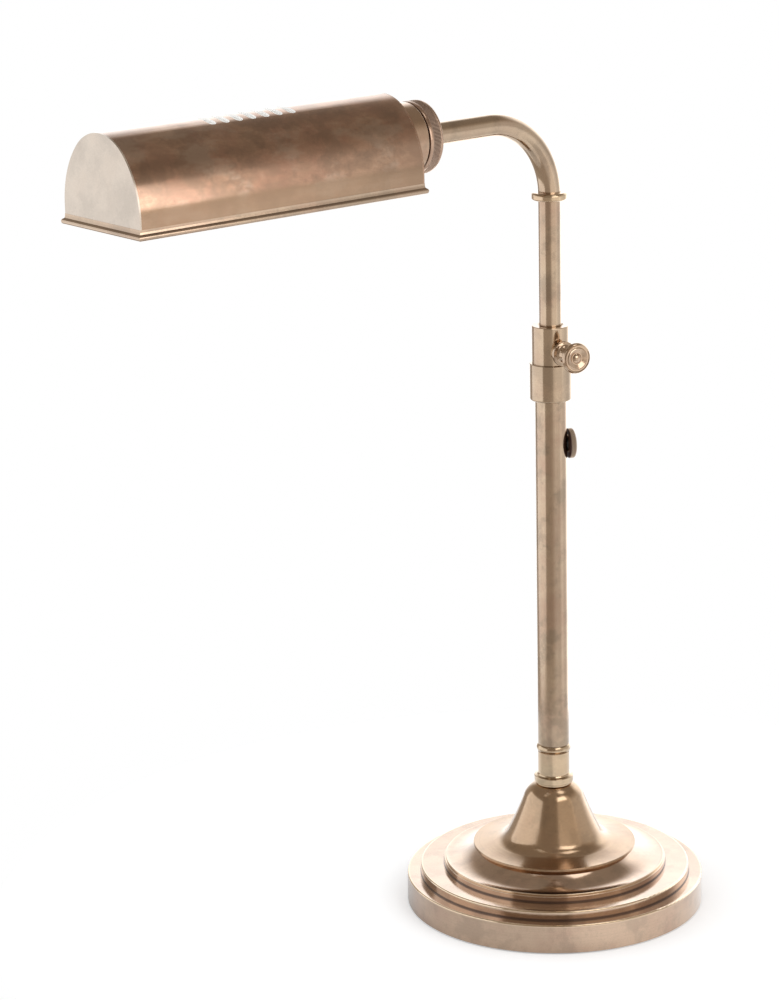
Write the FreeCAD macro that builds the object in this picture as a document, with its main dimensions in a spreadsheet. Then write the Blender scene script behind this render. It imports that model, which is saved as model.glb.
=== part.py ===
import FreeCAD, Part
import math
import os
import Sketcher
from FreeCAD import Placement, Rotation, Vector

# Desk and music lamp: a weighted foot, a two-part post with a clamp, and a trough shade on a bent arm.
# Frame: origin at the centre of the foot on the table, +Z up the post, the arm and the shade along -X.
# All lengths in millimetres.

os.makedirs("parts", exist_ok=True)
doc = FreeCAD.newDocument("PianoLamp")
sheet = doc.addObject("Spreadsheet::Sheet", "Sizes")


# Sizes

class Size:
    """A number together with the text of the sheet expression that gives it."""

    def __init__(self, value, text):
        self.value = float(value)
        self.text = text

    def __add__(self, other):
        return Size(self.value + number(other), "(%s + %s)" % (self.text, words(other)))

    __radd__ = __add__

    def __sub__(self, other):
        return Size(self.value - number(other), "(%s - %s)" % (self.text, words(other)))

    def __rsub__(self, other):
        return Size(number(other) - self.value, "(%s - %s)" % (words(other), self.text))

    def __mul__(self, other):
        return Size(self.value * number(other), "(%s * %s)" % (self.text, words(other)))

    __rmul__ = __mul__

    def __truediv__(self, other):
        return Size(self.value / number(other), "(%s / %s)" % (self.text, words(other)))

    def __neg__(self):
        return Size(-self.value, "(0 - %s)" % self.text)


def number(item):
    """The plain value of a size or of a number."""
    return item.value if isinstance(item, Size) else float(item)


def words(item):
    """The expression text of a size or of a number."""
    return item.text if isinstance(item, Size) else "%.10g" % item


def dome(radius, rise):
    """The sphere radius of a dome over a circle."""
    return (radius * radius + rise * rise) / (rise * 2)


def root(item):
    """The square root of a size."""
    return Size(math.sqrt(item.value), "sqrt(%s)" % item.text)


rows = 0


def size(name, value, meaning):
    """Write one driving dimension into the sheet and return it."""
    global rows
    rows += 1
    sheet.set("A%d" % rows, meaning)
    sheet.set("B%d" % rows, "%.10g" % value)
    sheet.setAlias("B%d" % rows, name)
    return Size(value, "Sizes.%s" % name)


# Foot
foot_radius = size("foot_radius", 89.0, "outer radius of the lowest step")
foot_top = size("foot_top", 17.8, "height of the lowest step above the table")
first_step = size("first_step", 8.2, "width of the lowest ledge")
middle_top = size("middle_top", 23.0, "height of the middle step")
second_step = size("second_step", 14.2, "width of the middle ledge")
upper_top = size("upper_top", 27.5, "height of the upper step")
upper_bead = size("upper_bead", 1.2, "height of the fine step on the upper step's edge")
cove_width = size("cove_width", 20.0, "width of the cove inside the upper step")
cove_top = size("cove_top", 34.6, "height of the flat that carries the bell")
cove_radius = size("cove_radius", 23.0, "radius of the cove's curve")
step_edge = size("step_edge", 0.9, "rounding of the steps' top edges")
ledge_fall = size("ledge_fall", 0.4, "fall of each ledge towards the next wall")
spun_wall = size("spun_wall", 1.5, "thickness of the spun brass")
rim_lift = size("rim_lift", 0.7, "height of the brass rim above the table")
felt_thickness = size("felt_thickness", 1.6, "thickness of the felt pad")
felt_gap = size("felt_gap", 0.4, "gap between the felt pad and the brass rim")
weight_gap = size("weight_gap", 0.5, "gap between the iron weight and the brass foot")
weight_top = size("weight_top", 15.6, "height of the iron weight's top")
nut_well_radius = size("nut_well_radius", 15.0, "radius of the well for the pipe nut")
nut_well_depth = size("nut_well_depth", 7.0, "depth of the well for the pipe nut")

# Pipe that ties the foot, the bell and the post together
pipe_radius = size("pipe_radius", 5.0, "outer radius of the tie pipe")
pipe_bore = size("pipe_bore", 3.6, "bore radius of the tie pipe")
pipe_fit = size("pipe_fit", 0.15, "radial clearance round the tie pipe")
pipe_tail = size("pipe_tail", 1.2, "length of the tie pipe below its nut")
pipe_engagement = size("pipe_engagement", 12.0, "length of the tie pipe inside the coupling")
nut_flats = size("nut_flats", 17.0, "width across the flats of the pipe nut")
nut_height = size("nut_height", 4.0, "height of the pipe nut")
washer_radius = size("washer_radius", 11.5, "outer radius of the washer")
washer_thickness = size("washer_thickness", 1.2, "thickness of the washer")

# Cord inlet at the back of the foot
inlet_height = size("inlet_height", 8.6, "height of the cord inlet's axis")
inlet_hole = size("inlet_hole", 4.6, "radius of the hole through the brass")
inlet_bore = size("inlet_bore", 3.2, "radius of the bush's bore")
inlet_flange = size("inlet_flange", 6.0, "radius of the bush's flange")
inlet_flange_thickness = size("inlet_flange_thickness", 1.4, "thickness of the bush's flange")
cord_channel = size("cord_channel", 11.6, "width of the cord channel in the weight")

# Bell
lip_overhang = size("lip_overhang", 2.1, "overhang of the bell's lip past the cove")
lip_thickness = size("lip_thickness", 1.4, "thickness of the bell's lip")
brim_share = size("brim_share", 0.725, "share of the lip's radius where the brim ends")
brim_height = size("brim_height", 37.4, "height of the brim's inner end")
brim_curve = size("brim_curve", 90.0, "radius of the brim's shallow curve")
flare_radius = size("flare_radius", 9.9, "radius of the bell's flare")
waist_share = size("waist_share", 0.573, "share of the lip's radius above the flare")
waist_height = size("waist_height", 43.0, "height of the bell above its flare")
flank_radius = size("flank_radius", 180.0, "radius of the bell's long flank")
shoulder_radius = size("shoulder_radius", 17.6, "radius of the bell at its shoulder")
shoulder_height = size("shoulder_height", 66.5, "height of the bell's shoulder")
shoulder_curve = size("shoulder_curve", 13.5, "radius of the shoulder's curve")
crown_radius = size("crown_radius", 10.7, "radius of the flat on the bell's crown")
crown_height = size("crown_height", 73.2, "height of the bell's crown")

# Collar and coupling between the bell and the post
collar_radius = size("collar_radius", 11.7, "outer radius of the collar")
collar_height = size("collar_height", 6.4, "height of the collar")
collar_undercut = size("collar_undercut", 1.2, "height and depth of the groove under the collar")
coupling_radius = size("coupling_radius", 9.4, "outer radius of the coupling")
coupling_height = size("coupling_height", 14.1, "height of the coupling below its bead")
bead_height = size("bead_height", 4.5, "height of the coupling's bead")
bead_overhang = size("bead_overhang", 0.9, "overhang of the coupling's bead")
spigot_height = size("spigot_height", 12.0, "length of the coupling's spigot inside the post")

# Post
post_radius = size("post_radius", 9.3, "outer radius of the post tube")
post_wall = size("post_wall", 1.2, "wall of the post tube")
post_seat_depth = size("post_seat_depth", 17.5, "depth of the post tube inside the ferrule")
ferrule_bottom = size("ferrule_bottom", 309.8, "height of the ferrule's lower end")
ferrule_radius = size("ferrule_radius", 12.3, "outer radius of the ferrule")
ferrule_height = size("ferrule_height", 21.8, "height of the ferrule")
ferrule_edge = size("ferrule_edge", 1.1, "rounding of the ferrule's lower edge")
sleeve_radius = size("sleeve_radius", 10.9, "outer radius of the clamp sleeve")
sleeve_height = size("sleeve_height", 22.2, "height of the clamp sleeve")
fine_edge = size("fine_edge", 0.4, "small rounding of turned edges")
thread_fit = size("thread_fit", 0.02, "clearance of a thread in its nut")
solder_fit = size("solder_fit", 0.05, "radial clearance of soldered tubes")

# Stem that slides and turns in the post
stem_radius = size("stem_radius", 6.5, "outer radius of the stem and of the arm tube")
tube_wall = size("tube_wall", 1.0, "wall of the stem and of the arm tube")
guide_drop = size("guide_drop", 5.0, "distance of the stem's lower end below the ferrule")
running_fit = size("running_fit", 0.08, "radial clearance of turning and sliding fits")
guide_height = size("guide_height", 9.0, "height of the guide bush")
keeper_thickness = size("keeper_thickness", 1.6, "thickness of the flanges that trap the guide bush")
end_play = size("end_play", 0.3, "axial play of parts that turn on one another")
stem_collar_radius = size("stem_collar_radius", 10.4, "radius of the ring at the top of the stem")
stem_collar_height = size("stem_collar_height", 4.4, "height of the ring at the top of the stem")

# Arm
arm_height = size("arm_height", 474.5, "height of the arm's axis")
bend_radius = size("bend_radius", 45.2, "radius of the arm's bend")
arm_reach = size("arm_reach", 109.6, "distance of the arm tube's end from the post's axis")

# Clamp screw
clamp_rise = size("clamp_rise", 7.9, "height of the clamp screw's axis above the ferrule")
clamp_azimuth = size("clamp_azimuth", -101.0, "direction of the clamp screw about the post, in degrees")
screw_radius = size("screw_radius", 2.9, "radius of the clamp screw")
shoe_radius = size("shoe_radius", 2.5, "radius of the clamp shoe")
shoe_length = size("shoe_length", 2.0, "length of the clamp shoe")
shoe_gap = size("shoe_gap", 0.35, "gap between the clamp shoe and the stem at rest")
boss_radius = size("boss_radius", 5.6, "radius of the boss on the sleeve")
boss_length = size("boss_length", 1.4, "height of the boss above the sleeve")
knob_gap = size("knob_gap", 0.9, "gap between the boss and the clamp knob")
knob_flange_radius = size("knob_flange_radius", 7.2, "radius of the clamp knob's inner flange")
knob_waist_radius = size("knob_waist_radius", 3.7, "radius of the clamp knob's waist")
knob_face_radius = size("knob_face_radius", 9.0, "radius of the clamp knob's face")
knob_length = size("knob_length", 17.4, "length of the clamp knob")
knob_flange_width = size("knob_flange_width", 1.8, "width of the disc behind the clamp knob's waist")
knob_ring_radius = size("knob_ring_radius", 5.6, "radius of the ring round the clamp knob's waist")
knob_ring_width = size("knob_ring_width", 1.6, "width of that ring")
knob_dish_depth = size("knob_dish_depth", 5.0, "depth of the clamp knob's flared head")
knob_rim_width = size("knob_rim_width", 1.6, "width of the rim round the clamp knob's face")
knob_groove = size("knob_groove", 0.5, "depth of the turned grooves in the clamp knob's face")
knob_button_radius = size("knob_button_radius", 3.0, "radius of the button on the clamp knob")

# Rotary switch
switch_drop = size("switch_drop", 27.4, "distance of the switch's axis below the ferrule")
switch_azimuth = size("switch_azimuth", -27.0, "direction of the switch about the post, in degrees")
switch_can_radius = size("switch_can_radius", 5.4, "radius of the switch's can")
switch_can_half = size("switch_can_half", 5.6, "half length of the switch's can")
switch_neck_radius = size("switch_neck_radius", 3.0, "radius of the switch's threaded neck")
switch_nut_radius = size("switch_nut_radius", 4.6, "radius of the switch's ring nut")
switch_nut_thickness = size("switch_nut_thickness", 1.1, "thickness of the switch's ring nut")
switch_shaft_radius = size("switch_shaft_radius", 1.8, "radius of the switch's shaft")
switch_knob_radius = size("switch_knob_radius", 8.8, "radius of the switch knob")
switch_knob_thickness = size("switch_knob_thickness", 5.8, "thickness of the switch knob")
switch_face_radius = size("switch_face_radius", 6.2, "radius of the switch knob's domed face")
switch_face_rise = size("switch_face_rise", 0.6, "rise of the switch knob's domed face")
switch_shoulder = size("switch_shoulder", 2.0, "height of the rounded shoulder round the face")
knob_chamfer = size("knob_chamfer", 0.5, "chamfer of the switch knob's back edge")
knurl_margin = size("knurl_margin", 0.15, "plain strip beside the knurl")
switch_knurls = size("switch_knurls", 40, "number of grooves round the switch knob")

# Lock ring and neck
ring_setback = size("ring_setback", 14.8, "distance of the lock ring's outer face from the arm's end")
ring_radius = size("ring_radius", 20.3, "outer radius of the lock ring and of the neck")
ring_width = size("ring_width", 9.6, "width of the lock ring")
ring_band = size("ring_band", 5.4, "width of the knurled band")
ring_web = size("ring_web", 3.0, "thickness of the lock ring's web")
ring_knurls = size("ring_knurls", 80, "number of grooves round the lock ring")
knurl_depth = size("knurl_depth", 0.45, "depth of the knurled grooves")
knurl_width = size("knurl_width", 0.8, "width of the knurled grooves")
ring_gap = size("ring_gap", 0.8, "gap between the lock ring and the neck")
neck_length = size("neck_length", 15.4, "length of the neck")
neck_wall = size("neck_wall", 1.4, "wall of the neck")
neck_floor = size("neck_floor", 2.0, "thickness of the neck's floor")
hub_radius = size("hub_radius", 9.2, "radius of the hub that the neck turns on")
hub_flange_radius = size("hub_flange_radius", 15.0, "radius of the hub's flange")
hub_flange = size("hub_flange", 2.6, "thickness of the hub's flange")

# Shade
shade_length = size("shade_length", 186.5, "length of the shade between its two ends")
shade_half_width = size("shade_half_width", 33.7, "half the width of the shade")
shade_crown = size("shade_crown", 26.9, "height of the shade's crown above the arm's axis")
shade_depth = size("shade_depth", 24.2, "depth of the shade's lower edge below the arm's axis")
shade_top_curve = size("shade_top_curve", 29.0, "radius of the shade's upper curve")
shade_side_curve = size("shade_side_curve", 46.0, "radius of the shade's side curves")
shade_wall = size("shade_wall", 1.0, "thickness of the shade's sheet")
rim_height = size("rim_height", 5.6, "height of the moulding round the shade's mouth")
rim_bead = size("rim_bead", 3.0, "height of the moulding's bead")
rim_neck = size("rim_neck", 0.7, "projection of the moulding above its bead")
rim_projection = size("rim_projection", 2.1, "projection of the moulding's bead")
vent_count = size("vent_count", 7, "number of vent slots")
vent_pitch = size("vent_pitch", 8.65, "distance between vent slots")
vent_length = size("vent_length", 21.0, "length of a vent slot across the shade")
vent_width = size("vent_width", 4.8, "width of a vent slot")
vent_shift = size("vent_shift", 2.1, "distance of the vents' middle from the shade's, towards its free end")

# Lampholder and bulb
holder_radius = size("holder_radius", 13.6, "outer radius of the lampholder's shell")
holder_length = size("holder_length", 31.0, "length of the lampholder's shell")
holder_wall = size("holder_wall", 1.0, "wall of the lampholder's shell")
holder_bore = size("holder_bore", 7.2, "bore radius of the lampholder's core")
socket_depth = size("socket_depth", 20.0, "depth of the lampholder's core from its mouth")
bulb_cap_radius = size("bulb_cap_radius", 7.0, "radius of the bulb's cap")
bulb_cap_length = size("bulb_cap_length", 24.0, "length of the bulb's cap")
bulb_radius = size("bulb_radius", 12.7, "radius of the bulb's glass")
bulb_length = size("bulb_length", 112.0, "length of the bulb's glass")
glass_wall = size("glass_wall", 0.8, "wall of the bulb's glass")


# Places that follow from the sizes
middle_radius = foot_radius - first_step
upper_radius = middle_radius - second_step
cove_inner = upper_radius - cove_width
lip_radius = cove_inner + lip_overhang
brim_radius = lip_radius * brim_share
waist_radius = lip_radius * waist_share
pipe_hole = pipe_radius + pipe_fit
collar_top = crown_height + collar_height
coupling_top = collar_top + coupling_height
post_bottom = coupling_top + bead_height
post_bore = post_radius - post_wall
post_top = ferrule_bottom + post_seat_depth
sleeve_bottom = ferrule_bottom + ferrule_height
sleeve_top = sleeve_bottom + sleeve_height
clamp_height = sleeve_bottom + clamp_rise
switch_height = ferrule_bottom - switch_drop
stem_bore = stem_radius - tube_wall
stem_foot = ferrule_bottom - guide_drop
stem_top = arm_height - bend_radius
guide_bottom = stem_foot + keeper_thickness + end_play
guide_top = guide_bottom + guide_height
ring_start = arm_reach - ring_setback
neck_start = ring_start + ring_width + ring_gap
shade_far = neck_start + neck_length
shade_near = shade_far + shade_length
hub_flange_start = neck_start + neck_floor + end_play
hub_end = hub_flange_start + hub_flange
holder_start = hub_end
holder_mouth = holder_start + holder_length
sleeve_bore = stem_radius + running_fit
shoe_start = stem_radius + shoe_gap
screw_start = shoe_start + shoe_length + solder_fit
knob_start = sleeve_radius + boss_length + knob_gap
switch_nut_start = post_radius + solder_fit
switch_knob_start = switch_nut_start + switch_nut_thickness + end_play
felt_top = felt_thickness
nut_ceiling = felt_top + nut_well_depth
bell_floor = cove_top


# Tools for sketches and bodies

bodies = []


def new_body(label):
    body = doc.addObject("PartDesign::Body", label)
    body.Label = label
    bodies.append(body)
    return body


def origin_plane(body, role):
    for item in body.Origin.OriginFeatures:
        if item.Role == role:
            return item
    raise RuntimeError("no plane " + role)


def new_sketch(body, role, name, lift=0):
    """A sketch on one of a body's own planes, lifted off it where asked."""
    sketch = body.newObject("Sketcher::SketchObject", name)
    sketch.AttachmentSupport = [(origin_plane(body, role), "")]
    sketch.MapMode = "FlatFace"
    sketch.AttachmentOffset = Placement(Vector(0, 0, number(lift)), Rotation())
    if isinstance(lift, Size):
        sketch.setExpression("AttachmentOffset.Base.z", lift.text)
    return sketch


def bind(sketch, index, item):
    if isinstance(item, Size):
        sketch.setExpression("Constraints[%d]" % index, item.text)


def pin(sketch, shape, end, across, up):
    """Hold one end of a sketch shape at the given coordinates."""
    for kind, axis, item in (("DistanceX", -2, across), ("DistanceY", -1, up)):
        value = number(item)
        if abs(value) < 1e-9:
            sketch.addConstraint(Sketcher.Constraint("PointOnObject", shape, end, axis))
        elif value > 0:
            index = sketch.addConstraint(Sketcher.Constraint(kind, -1, 1, shape, end, value))
            bind(sketch, index, item)
        else:
            index = sketch.addConstraint(Sketcher.Constraint(kind, shape, end, -1, 1, -value))
            bind(sketch, index, -item if isinstance(item, Size) else item)


def draw_loop(sketch, corners):
    """Draw a closed outline.

    Each corner is (across, up) for a straight edge that arrives there, or
    (across, up, radius, side) for an arc, whose centre lies to the left (side 1)
    or to the right (side -1) of the way along the outline. A radius of None makes
    a half circle.
    """
    count = len(corners)
    ends = []
    for i in range(count):
        start = corners[i - 1]
        stop = corners[i]
        x0, y0 = number(start[0]), number(start[1])
        x1, y1 = number(stop[0]), number(stop[1])
        if len(stop) == 2:
            line = Part.LineSegment(Vector(x0, y0, 0), Vector(x1, y1, 0))
            shape = sketch.addGeometry(line, False)
            ends.append((shape, 1, 2))
            continue
        side = stop[3]
        chord = math.hypot(x1 - x0, y1 - y0)
        radius = chord / 2 if stop[2] is None else number(stop[2])
        rise = math.sqrt(max(radius * radius - chord * chord / 4, 0.0))
        cx = (x0 + x1) / 2 - side * rise * (y1 - y0) / chord
        cy = (y0 + y1) / 2 + side * rise * (x1 - x0) / chord
        first = math.atan2(y0 - cy, x0 - cx)
        last = math.atan2(y1 - cy, x1 - cx)
        if side < 0:
            first, last = last, first
        circle = Part.Circle(Vector(cx, cy, 0), Vector(0, 0, 1), radius)
        shape = sketch.addGeometry(Part.ArcOfCircle(circle, first, last), False)
        ends.append((shape, 1, 2) if side > 0 else (shape, 2, 1))
        if stop[2] is None:
            sketch.addConstraint(Sketcher.Constraint("Symmetric", shape, 1, shape, 2, shape, 3))
        else:
            bind(sketch, sketch.addConstraint(Sketcher.Constraint("Radius", shape, radius)), stop[2])
    for i in range(count):
        here, after = ends[i], ends[(i + 1) % count]
        sketch.addConstraint(Sketcher.Constraint("Coincident", here[0], here[2], after[0], after[1]))
    for i in range(count):
        pin(sketch, ends[i][0], ends[i][2], corners[i][0], corners[i][1])


def draw_circle(sketch, radius, across=0, up=0):
    circle = Part.Circle(Vector(number(across), number(up), 0), Vector(0, 0, 1), number(radius))
    shape = sketch.addGeometry(circle, False)
    bind(sketch, sketch.addConstraint(Sketcher.Constraint("Radius", shape, number(radius))), radius)
    pin(sketch, shape, 3, across, up)


def put(body, across=0, back=0, up=0, rotation=None):
    """Place a body, its position bound to the sheet."""
    place = Placement(Vector(number(across), number(back), number(up)), rotation or Rotation())
    body.Placement = place
    for axis, item in (("x", across), ("y", back), ("z", up)):
        if isinstance(item, Size):
            body.setExpression("Placement.Base.%s" % axis, item.text)


def turned(label, corners):
    """A piece turned about its own Z axis; corners are (radius, height)."""
    body = new_body(label)
    sketch = new_sketch(body, "XZ_Plane", label + "_profile")
    draw_loop(sketch, corners)
    turn = body.newObject("PartDesign::Revolution", label + "_turn")
    turn.Profile = sketch
    turn.ReferenceAxis = (sketch, ["V_Axis"])
    turn.Angle = 360
    sketch.Visibility = False
    doc.recompute()
    return body


def ring(label, inner, outer, bottom, height):
    """A plain turned ring."""
    return turned(label, [(inner, bottom), (outer, bottom), (outer, bottom + height), (inner, bottom + height)])


def padded(body, role, name, outlines, length, reversed_side=False, symmetric=False):
    """Add a prism to a body from one sketch of loops and circles."""
    sketch = new_sketch(body, role, name + "_outline")
    for outline in outlines:
        if isinstance(outline, list):
            draw_loop(sketch, outline)
        else:
            draw_circle(sketch, *outline)
    pad = body.newObject("PartDesign::Pad", name)
    pad.Profile = sketch
    pad.Length = number(length)
    if isinstance(length, Size):
        pad.setExpression("Length", length.text)
    pad.Reversed = reversed_side
    pad.Midplane = symmetric
    doc.recompute()
    return pad


def cut(body, role, name, outlines, length, reversed_side=False, symmetric=False, lift=0):
    """Cut a prism out of a body and check that material really goes."""
    before = body.Shape.Volume
    sketch = new_sketch(body, role, name + "_outline", lift)
    for outline in outlines:
        if isinstance(outline, list):
            draw_loop(sketch, outline)
        else:
            draw_circle(sketch, *outline)
    pocket = body.newObject("PartDesign::Pocket", name)
    pocket.Profile = sketch
    pocket.Length = number(length)
    if isinstance(length, Size):
        pocket.setExpression("Length", length.text)
    pocket.Reversed = reversed_side
    pocket.Midplane = symmetric
    doc.recompute()
    if body.Shape.Volume > before - 0.01:
        raise RuntimeError("%s cuts nothing, sketch solve gives %d" % (name, sketch.solve()))
    return pocket


def polar(body, feature, name, count):
    """Repeat a feature round the body's Z axis."""
    pattern = body.newObject("PartDesign::PolarPattern", name)
    pattern.Originals = [feature]
    pattern.Axis = (feature.Profile[0], ["N_Axis"])
    pattern.Angle = 360
    pattern.Occurrences = int(round(number(count)))
    body.Tip = pattern
    doc.recompute()
    return pattern


ALONG_ARM = Rotation(Vector(0, 0, 1), Vector(-1, 0, 0))


def outward(azimuth):
    """The rotation that lays a piece's Z axis out from the post at an azimuth in degrees, its Y axis up."""
    angle = math.radians(number(azimuth))
    along = Vector(math.cos(angle), math.sin(angle), 0)
    upward = Vector(0, 0, 1)
    return Rotation(upward.cross(along), upward, along, "ZYX")


# Foot: spun brass shell over an iron weight, felt below

foot_shell = turned("foot_shell", [
    (foot_radius - spun_wall, rim_lift),
    (foot_radius, rim_lift),
    (foot_radius, foot_top - step_edge),
    (foot_radius - step_edge, foot_top, step_edge, 1),
    (middle_radius, foot_top - ledge_fall),
    (middle_radius, middle_top - step_edge),
    (middle_radius - step_edge, middle_top, step_edge, 1),
    (upper_radius, middle_top - ledge_fall),
    (upper_radius, upper_top - upper_bead - fine_edge),
    (upper_radius - fine_edge, upper_top - upper_bead, fine_edge, 1),
    (upper_radius - step_edge, upper_top - upper_bead),
    (upper_radius - step_edge, upper_top - fine_edge),
    (upper_radius - step_edge - fine_edge, upper_top, fine_edge, 1),
    (cove_inner, cove_top - spun_wall * 0.4, cove_radius, -1),
    (cove_inner, cove_top),
    (pipe_hole, cove_top),
    (pipe_hole, cove_top - spun_wall),
    (cove_inner - spun_wall, cove_top - spun_wall),
    (upper_radius - step_edge - spun_wall, upper_top - spun_wall * 1.3, cove_radius + spun_wall, 1),
    (upper_radius - spun_wall, upper_top - spun_wall * 1.3),
    (upper_radius - spun_wall, middle_top - ledge_fall - spun_wall),
    (middle_radius - spun_wall, middle_top - ledge_fall - spun_wall),
    (middle_radius - spun_wall, foot_top - ledge_fall - spun_wall),
    (foot_radius - spun_wall, foot_top - ledge_fall - spun_wall),
])
inlet_cut = cut(foot_shell, "YZ_Plane", "inlet_opening", [(inlet_hole, 0, inlet_height)],
                foot_radius + 5, reversed_side=True)

foot_weight = turned("foot_weight", [
    (pipe_hole, nut_ceiling),
    (nut_well_radius, nut_ceiling),
    (nut_well_radius, felt_top),
    (foot_radius - spun_wall - weight_gap, felt_top),
    (foot_radius - spun_wall - weight_gap, weight_top),
    (middle_radius - spun_wall - weight_gap, weight_top),
    (middle_radius - spun_wall - weight_gap, middle_top - ledge_fall - spun_wall - weight_gap),
    (upper_radius - spun_wall - weight_gap, middle_top - ledge_fall - spun_wall - weight_gap),
    (upper_radius - spun_wall - weight_gap, upper_top - spun_wall * 1.3 - weight_gap),
    (pipe_hole, upper_top - spun_wall * 1.3 - weight_gap),
])
cut(foot_weight, "YZ_Plane", "cord_channel_cut", [[
    (-(cord_channel / 2), felt_top - 1),
    (cord_channel / 2, felt_top - 1),
    (cord_channel / 2, inlet_height),
    (-(cord_channel / 2), inlet_height, None, 1),
]], foot_radius + 5, reversed_side=True)

felt_pad = turned("felt_pad", [
    (0, 0),
    (foot_radius - spun_wall - felt_gap, 0),
    (foot_radius - spun_wall - felt_gap, felt_top),
    (0, felt_top),
])

bush_relief = spun_wall * 0.25
cord_bush = turned("cord_bush", [
    (inlet_bore, spun_wall + inlet_flange_thickness),
    (inlet_bore, -(inlet_flange_thickness * 0.7)),
    (inlet_flange * 0.9, -(inlet_flange_thickness * 0.7)),
    (inlet_flange * 0.9, -bush_relief),
    (inlet_hole - solder_fit, -bush_relief),
    (inlet_hole - solder_fit, spun_wall + weight_gap / 2),
    (inlet_flange, spun_wall + weight_gap / 2),
    (inlet_flange, spun_wall + inlet_flange_thickness * 0.6),
    (inlet_flange - inlet_flange_thickness * 0.4, spun_wall + inlet_flange_thickness,
     inlet_flange_thickness * 0.5, 1),
])
put(cord_bush, foot_radius - spun_wall, 0, inlet_height, Rotation(Vector(0, 0, 1), Vector(1, 0, 0)))

# Tie pipe with its nut and washer, from the weight up into the coupling

ring("tie_pipe", pipe_bore, pipe_radius, nut_ceiling - washer_thickness - nut_height - pipe_tail,
     collar_top + pipe_engagement - nut_ceiling + washer_thickness + nut_height + pipe_tail)
ring("lock_washer", pipe_hole, washer_radius, nut_ceiling - washer_thickness, washer_thickness)

pipe_nut = new_body("pipe_nut")
half = nut_flats / 2
corner = nut_flats / math.sqrt(3)
hexagon = [
    (corner, 0),
    (corner / 2, half),
    (-(corner / 2), half),
    (-corner, 0),
    (-(corner / 2), -half),
    (corner / 2, -half),
]
padded(pipe_nut, "XY_Plane", "hexagon_block", [hexagon, (pipe_radius + thread_fit,)], nut_height)
put(pipe_nut, 0, 0, nut_ceiling - washer_thickness - nut_height)

# Bell, collar and coupling

turned("bell", [
    (pipe_hole, crown_height - spun_wall),
    (crown_radius, crown_height - spun_wall),
    (shoulder_radius - spun_wall, shoulder_height - spun_wall * 0.4, shoulder_curve, -1),
    (waist_radius - spun_wall, waist_height - spun_wall * 0.6, flank_radius + spun_wall, 1),
    (brim_radius - spun_wall * 0.6, brim_height - spun_wall, flare_radius + spun_wall, 1),
    (lip_radius - spun_wall, bell_floor, brim_curve + spun_wall, 1),
    (lip_radius, bell_floor),
    (lip_radius, bell_floor + lip_thickness - fine_edge),
    (lip_radius - fine_edge, bell_floor + lip_thickness, fine_edge, 1),
    (brim_radius, brim_height, brim_curve, -1),
    (waist_radius, waist_height, flare_radius, -1),
    (shoulder_radius, shoulder_height, flank_radius, -1),
    (crown_radius, crown_height, shoulder_curve, 1),
    (pipe_hole, crown_height),
])

turned("bell_collar", [
    (pipe_hole, crown_height),
    (collar_radius - collar_undercut, crown_height),
    (collar_radius - collar_undercut, crown_height + collar_undercut),
    (collar_radius - fine_edge, crown_height + collar_undercut),
    (collar_radius, crown_height + collar_undercut + fine_edge, fine_edge, 1),
    (collar_radius, collar_top - collar_undercut - fine_edge),
    (collar_radius - fine_edge, collar_top - collar_undercut, fine_edge, 1),
    (coupling_radius + fine_edge * 1.5, collar_top - collar_undercut * 0.6),
    (coupling_radius + fine_edge / 2, collar_top),
    (pipe_hole, collar_top),
])

turned("post_coupling", [
    (pipe_radius + thread_fit, collar_top),
    (coupling_radius, collar_top),
    (coupling_radius, coupling_top - fine_edge),
    (coupling_radius - fine_edge, coupling_top - fine_edge),
    (coupling_radius - fine_edge, coupling_top),
    (coupling_radius, coupling_top),
    (coupling_radius, post_bottom - fine_edge, bead_height * 0.55 + bead_overhang * 0.6, 1),
    (post_radius - fine_edge, post_bottom),
    (post_bore - solder_fit, post_bottom),
    (post_bore - solder_fit, post_bottom + spigot_height),
    (pipe_radius + thread_fit, post_bottom + spigot_height),
])

# Post tube, ferrule and clamp sleeve

post_tube = ring("post_tube", post_bore, post_radius, post_bottom, post_top - post_bottom)
post_tube.Placement = Placement(Vector(0, 0, 0), Rotation(Vector(0, 0, 1), number(switch_azimuth)))
cut(post_tube, "YZ_Plane", "switch_hole", [(switch_neck_radius + running_fit, 0, switch_height)],
    post_radius + 5, reversed_side=True)

turned("post_ferrule", [
    (post_radius + solder_fit, ferrule_bottom),
    (ferrule_radius - ferrule_edge, ferrule_bottom),
    (ferrule_radius, ferrule_bottom + ferrule_edge, ferrule_edge, 1),
    (ferrule_radius, sleeve_bottom - fine_edge),
    (ferrule_radius - fine_edge, sleeve_bottom, fine_edge, 1),
    (post_bore, sleeve_bottom),
    (post_bore, post_top),
    (post_radius + solder_fit, post_top),
])

clamp_sleeve = turned("clamp_sleeve", [
    (sleeve_bore, sleeve_bottom),
    (sleeve_radius, sleeve_bottom),
    (sleeve_radius, sleeve_top - fine_edge),
    (sleeve_radius - fine_edge, sleeve_top, fine_edge, 1),
    (sleeve_bore + fine_edge * 3, sleeve_top),
    (sleeve_bore, sleeve_top - fine_edge * 2),
])
clamp_sleeve.Placement = Placement(Vector(0, 0, 0), Rotation(Vector(0, 0, 1), number(clamp_azimuth)))
cut(clamp_sleeve, "YZ_Plane", "screw_hole", [(screw_radius + running_fit, 0, clamp_height)],
    sleeve_radius + 5, reversed_side=True)

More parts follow.
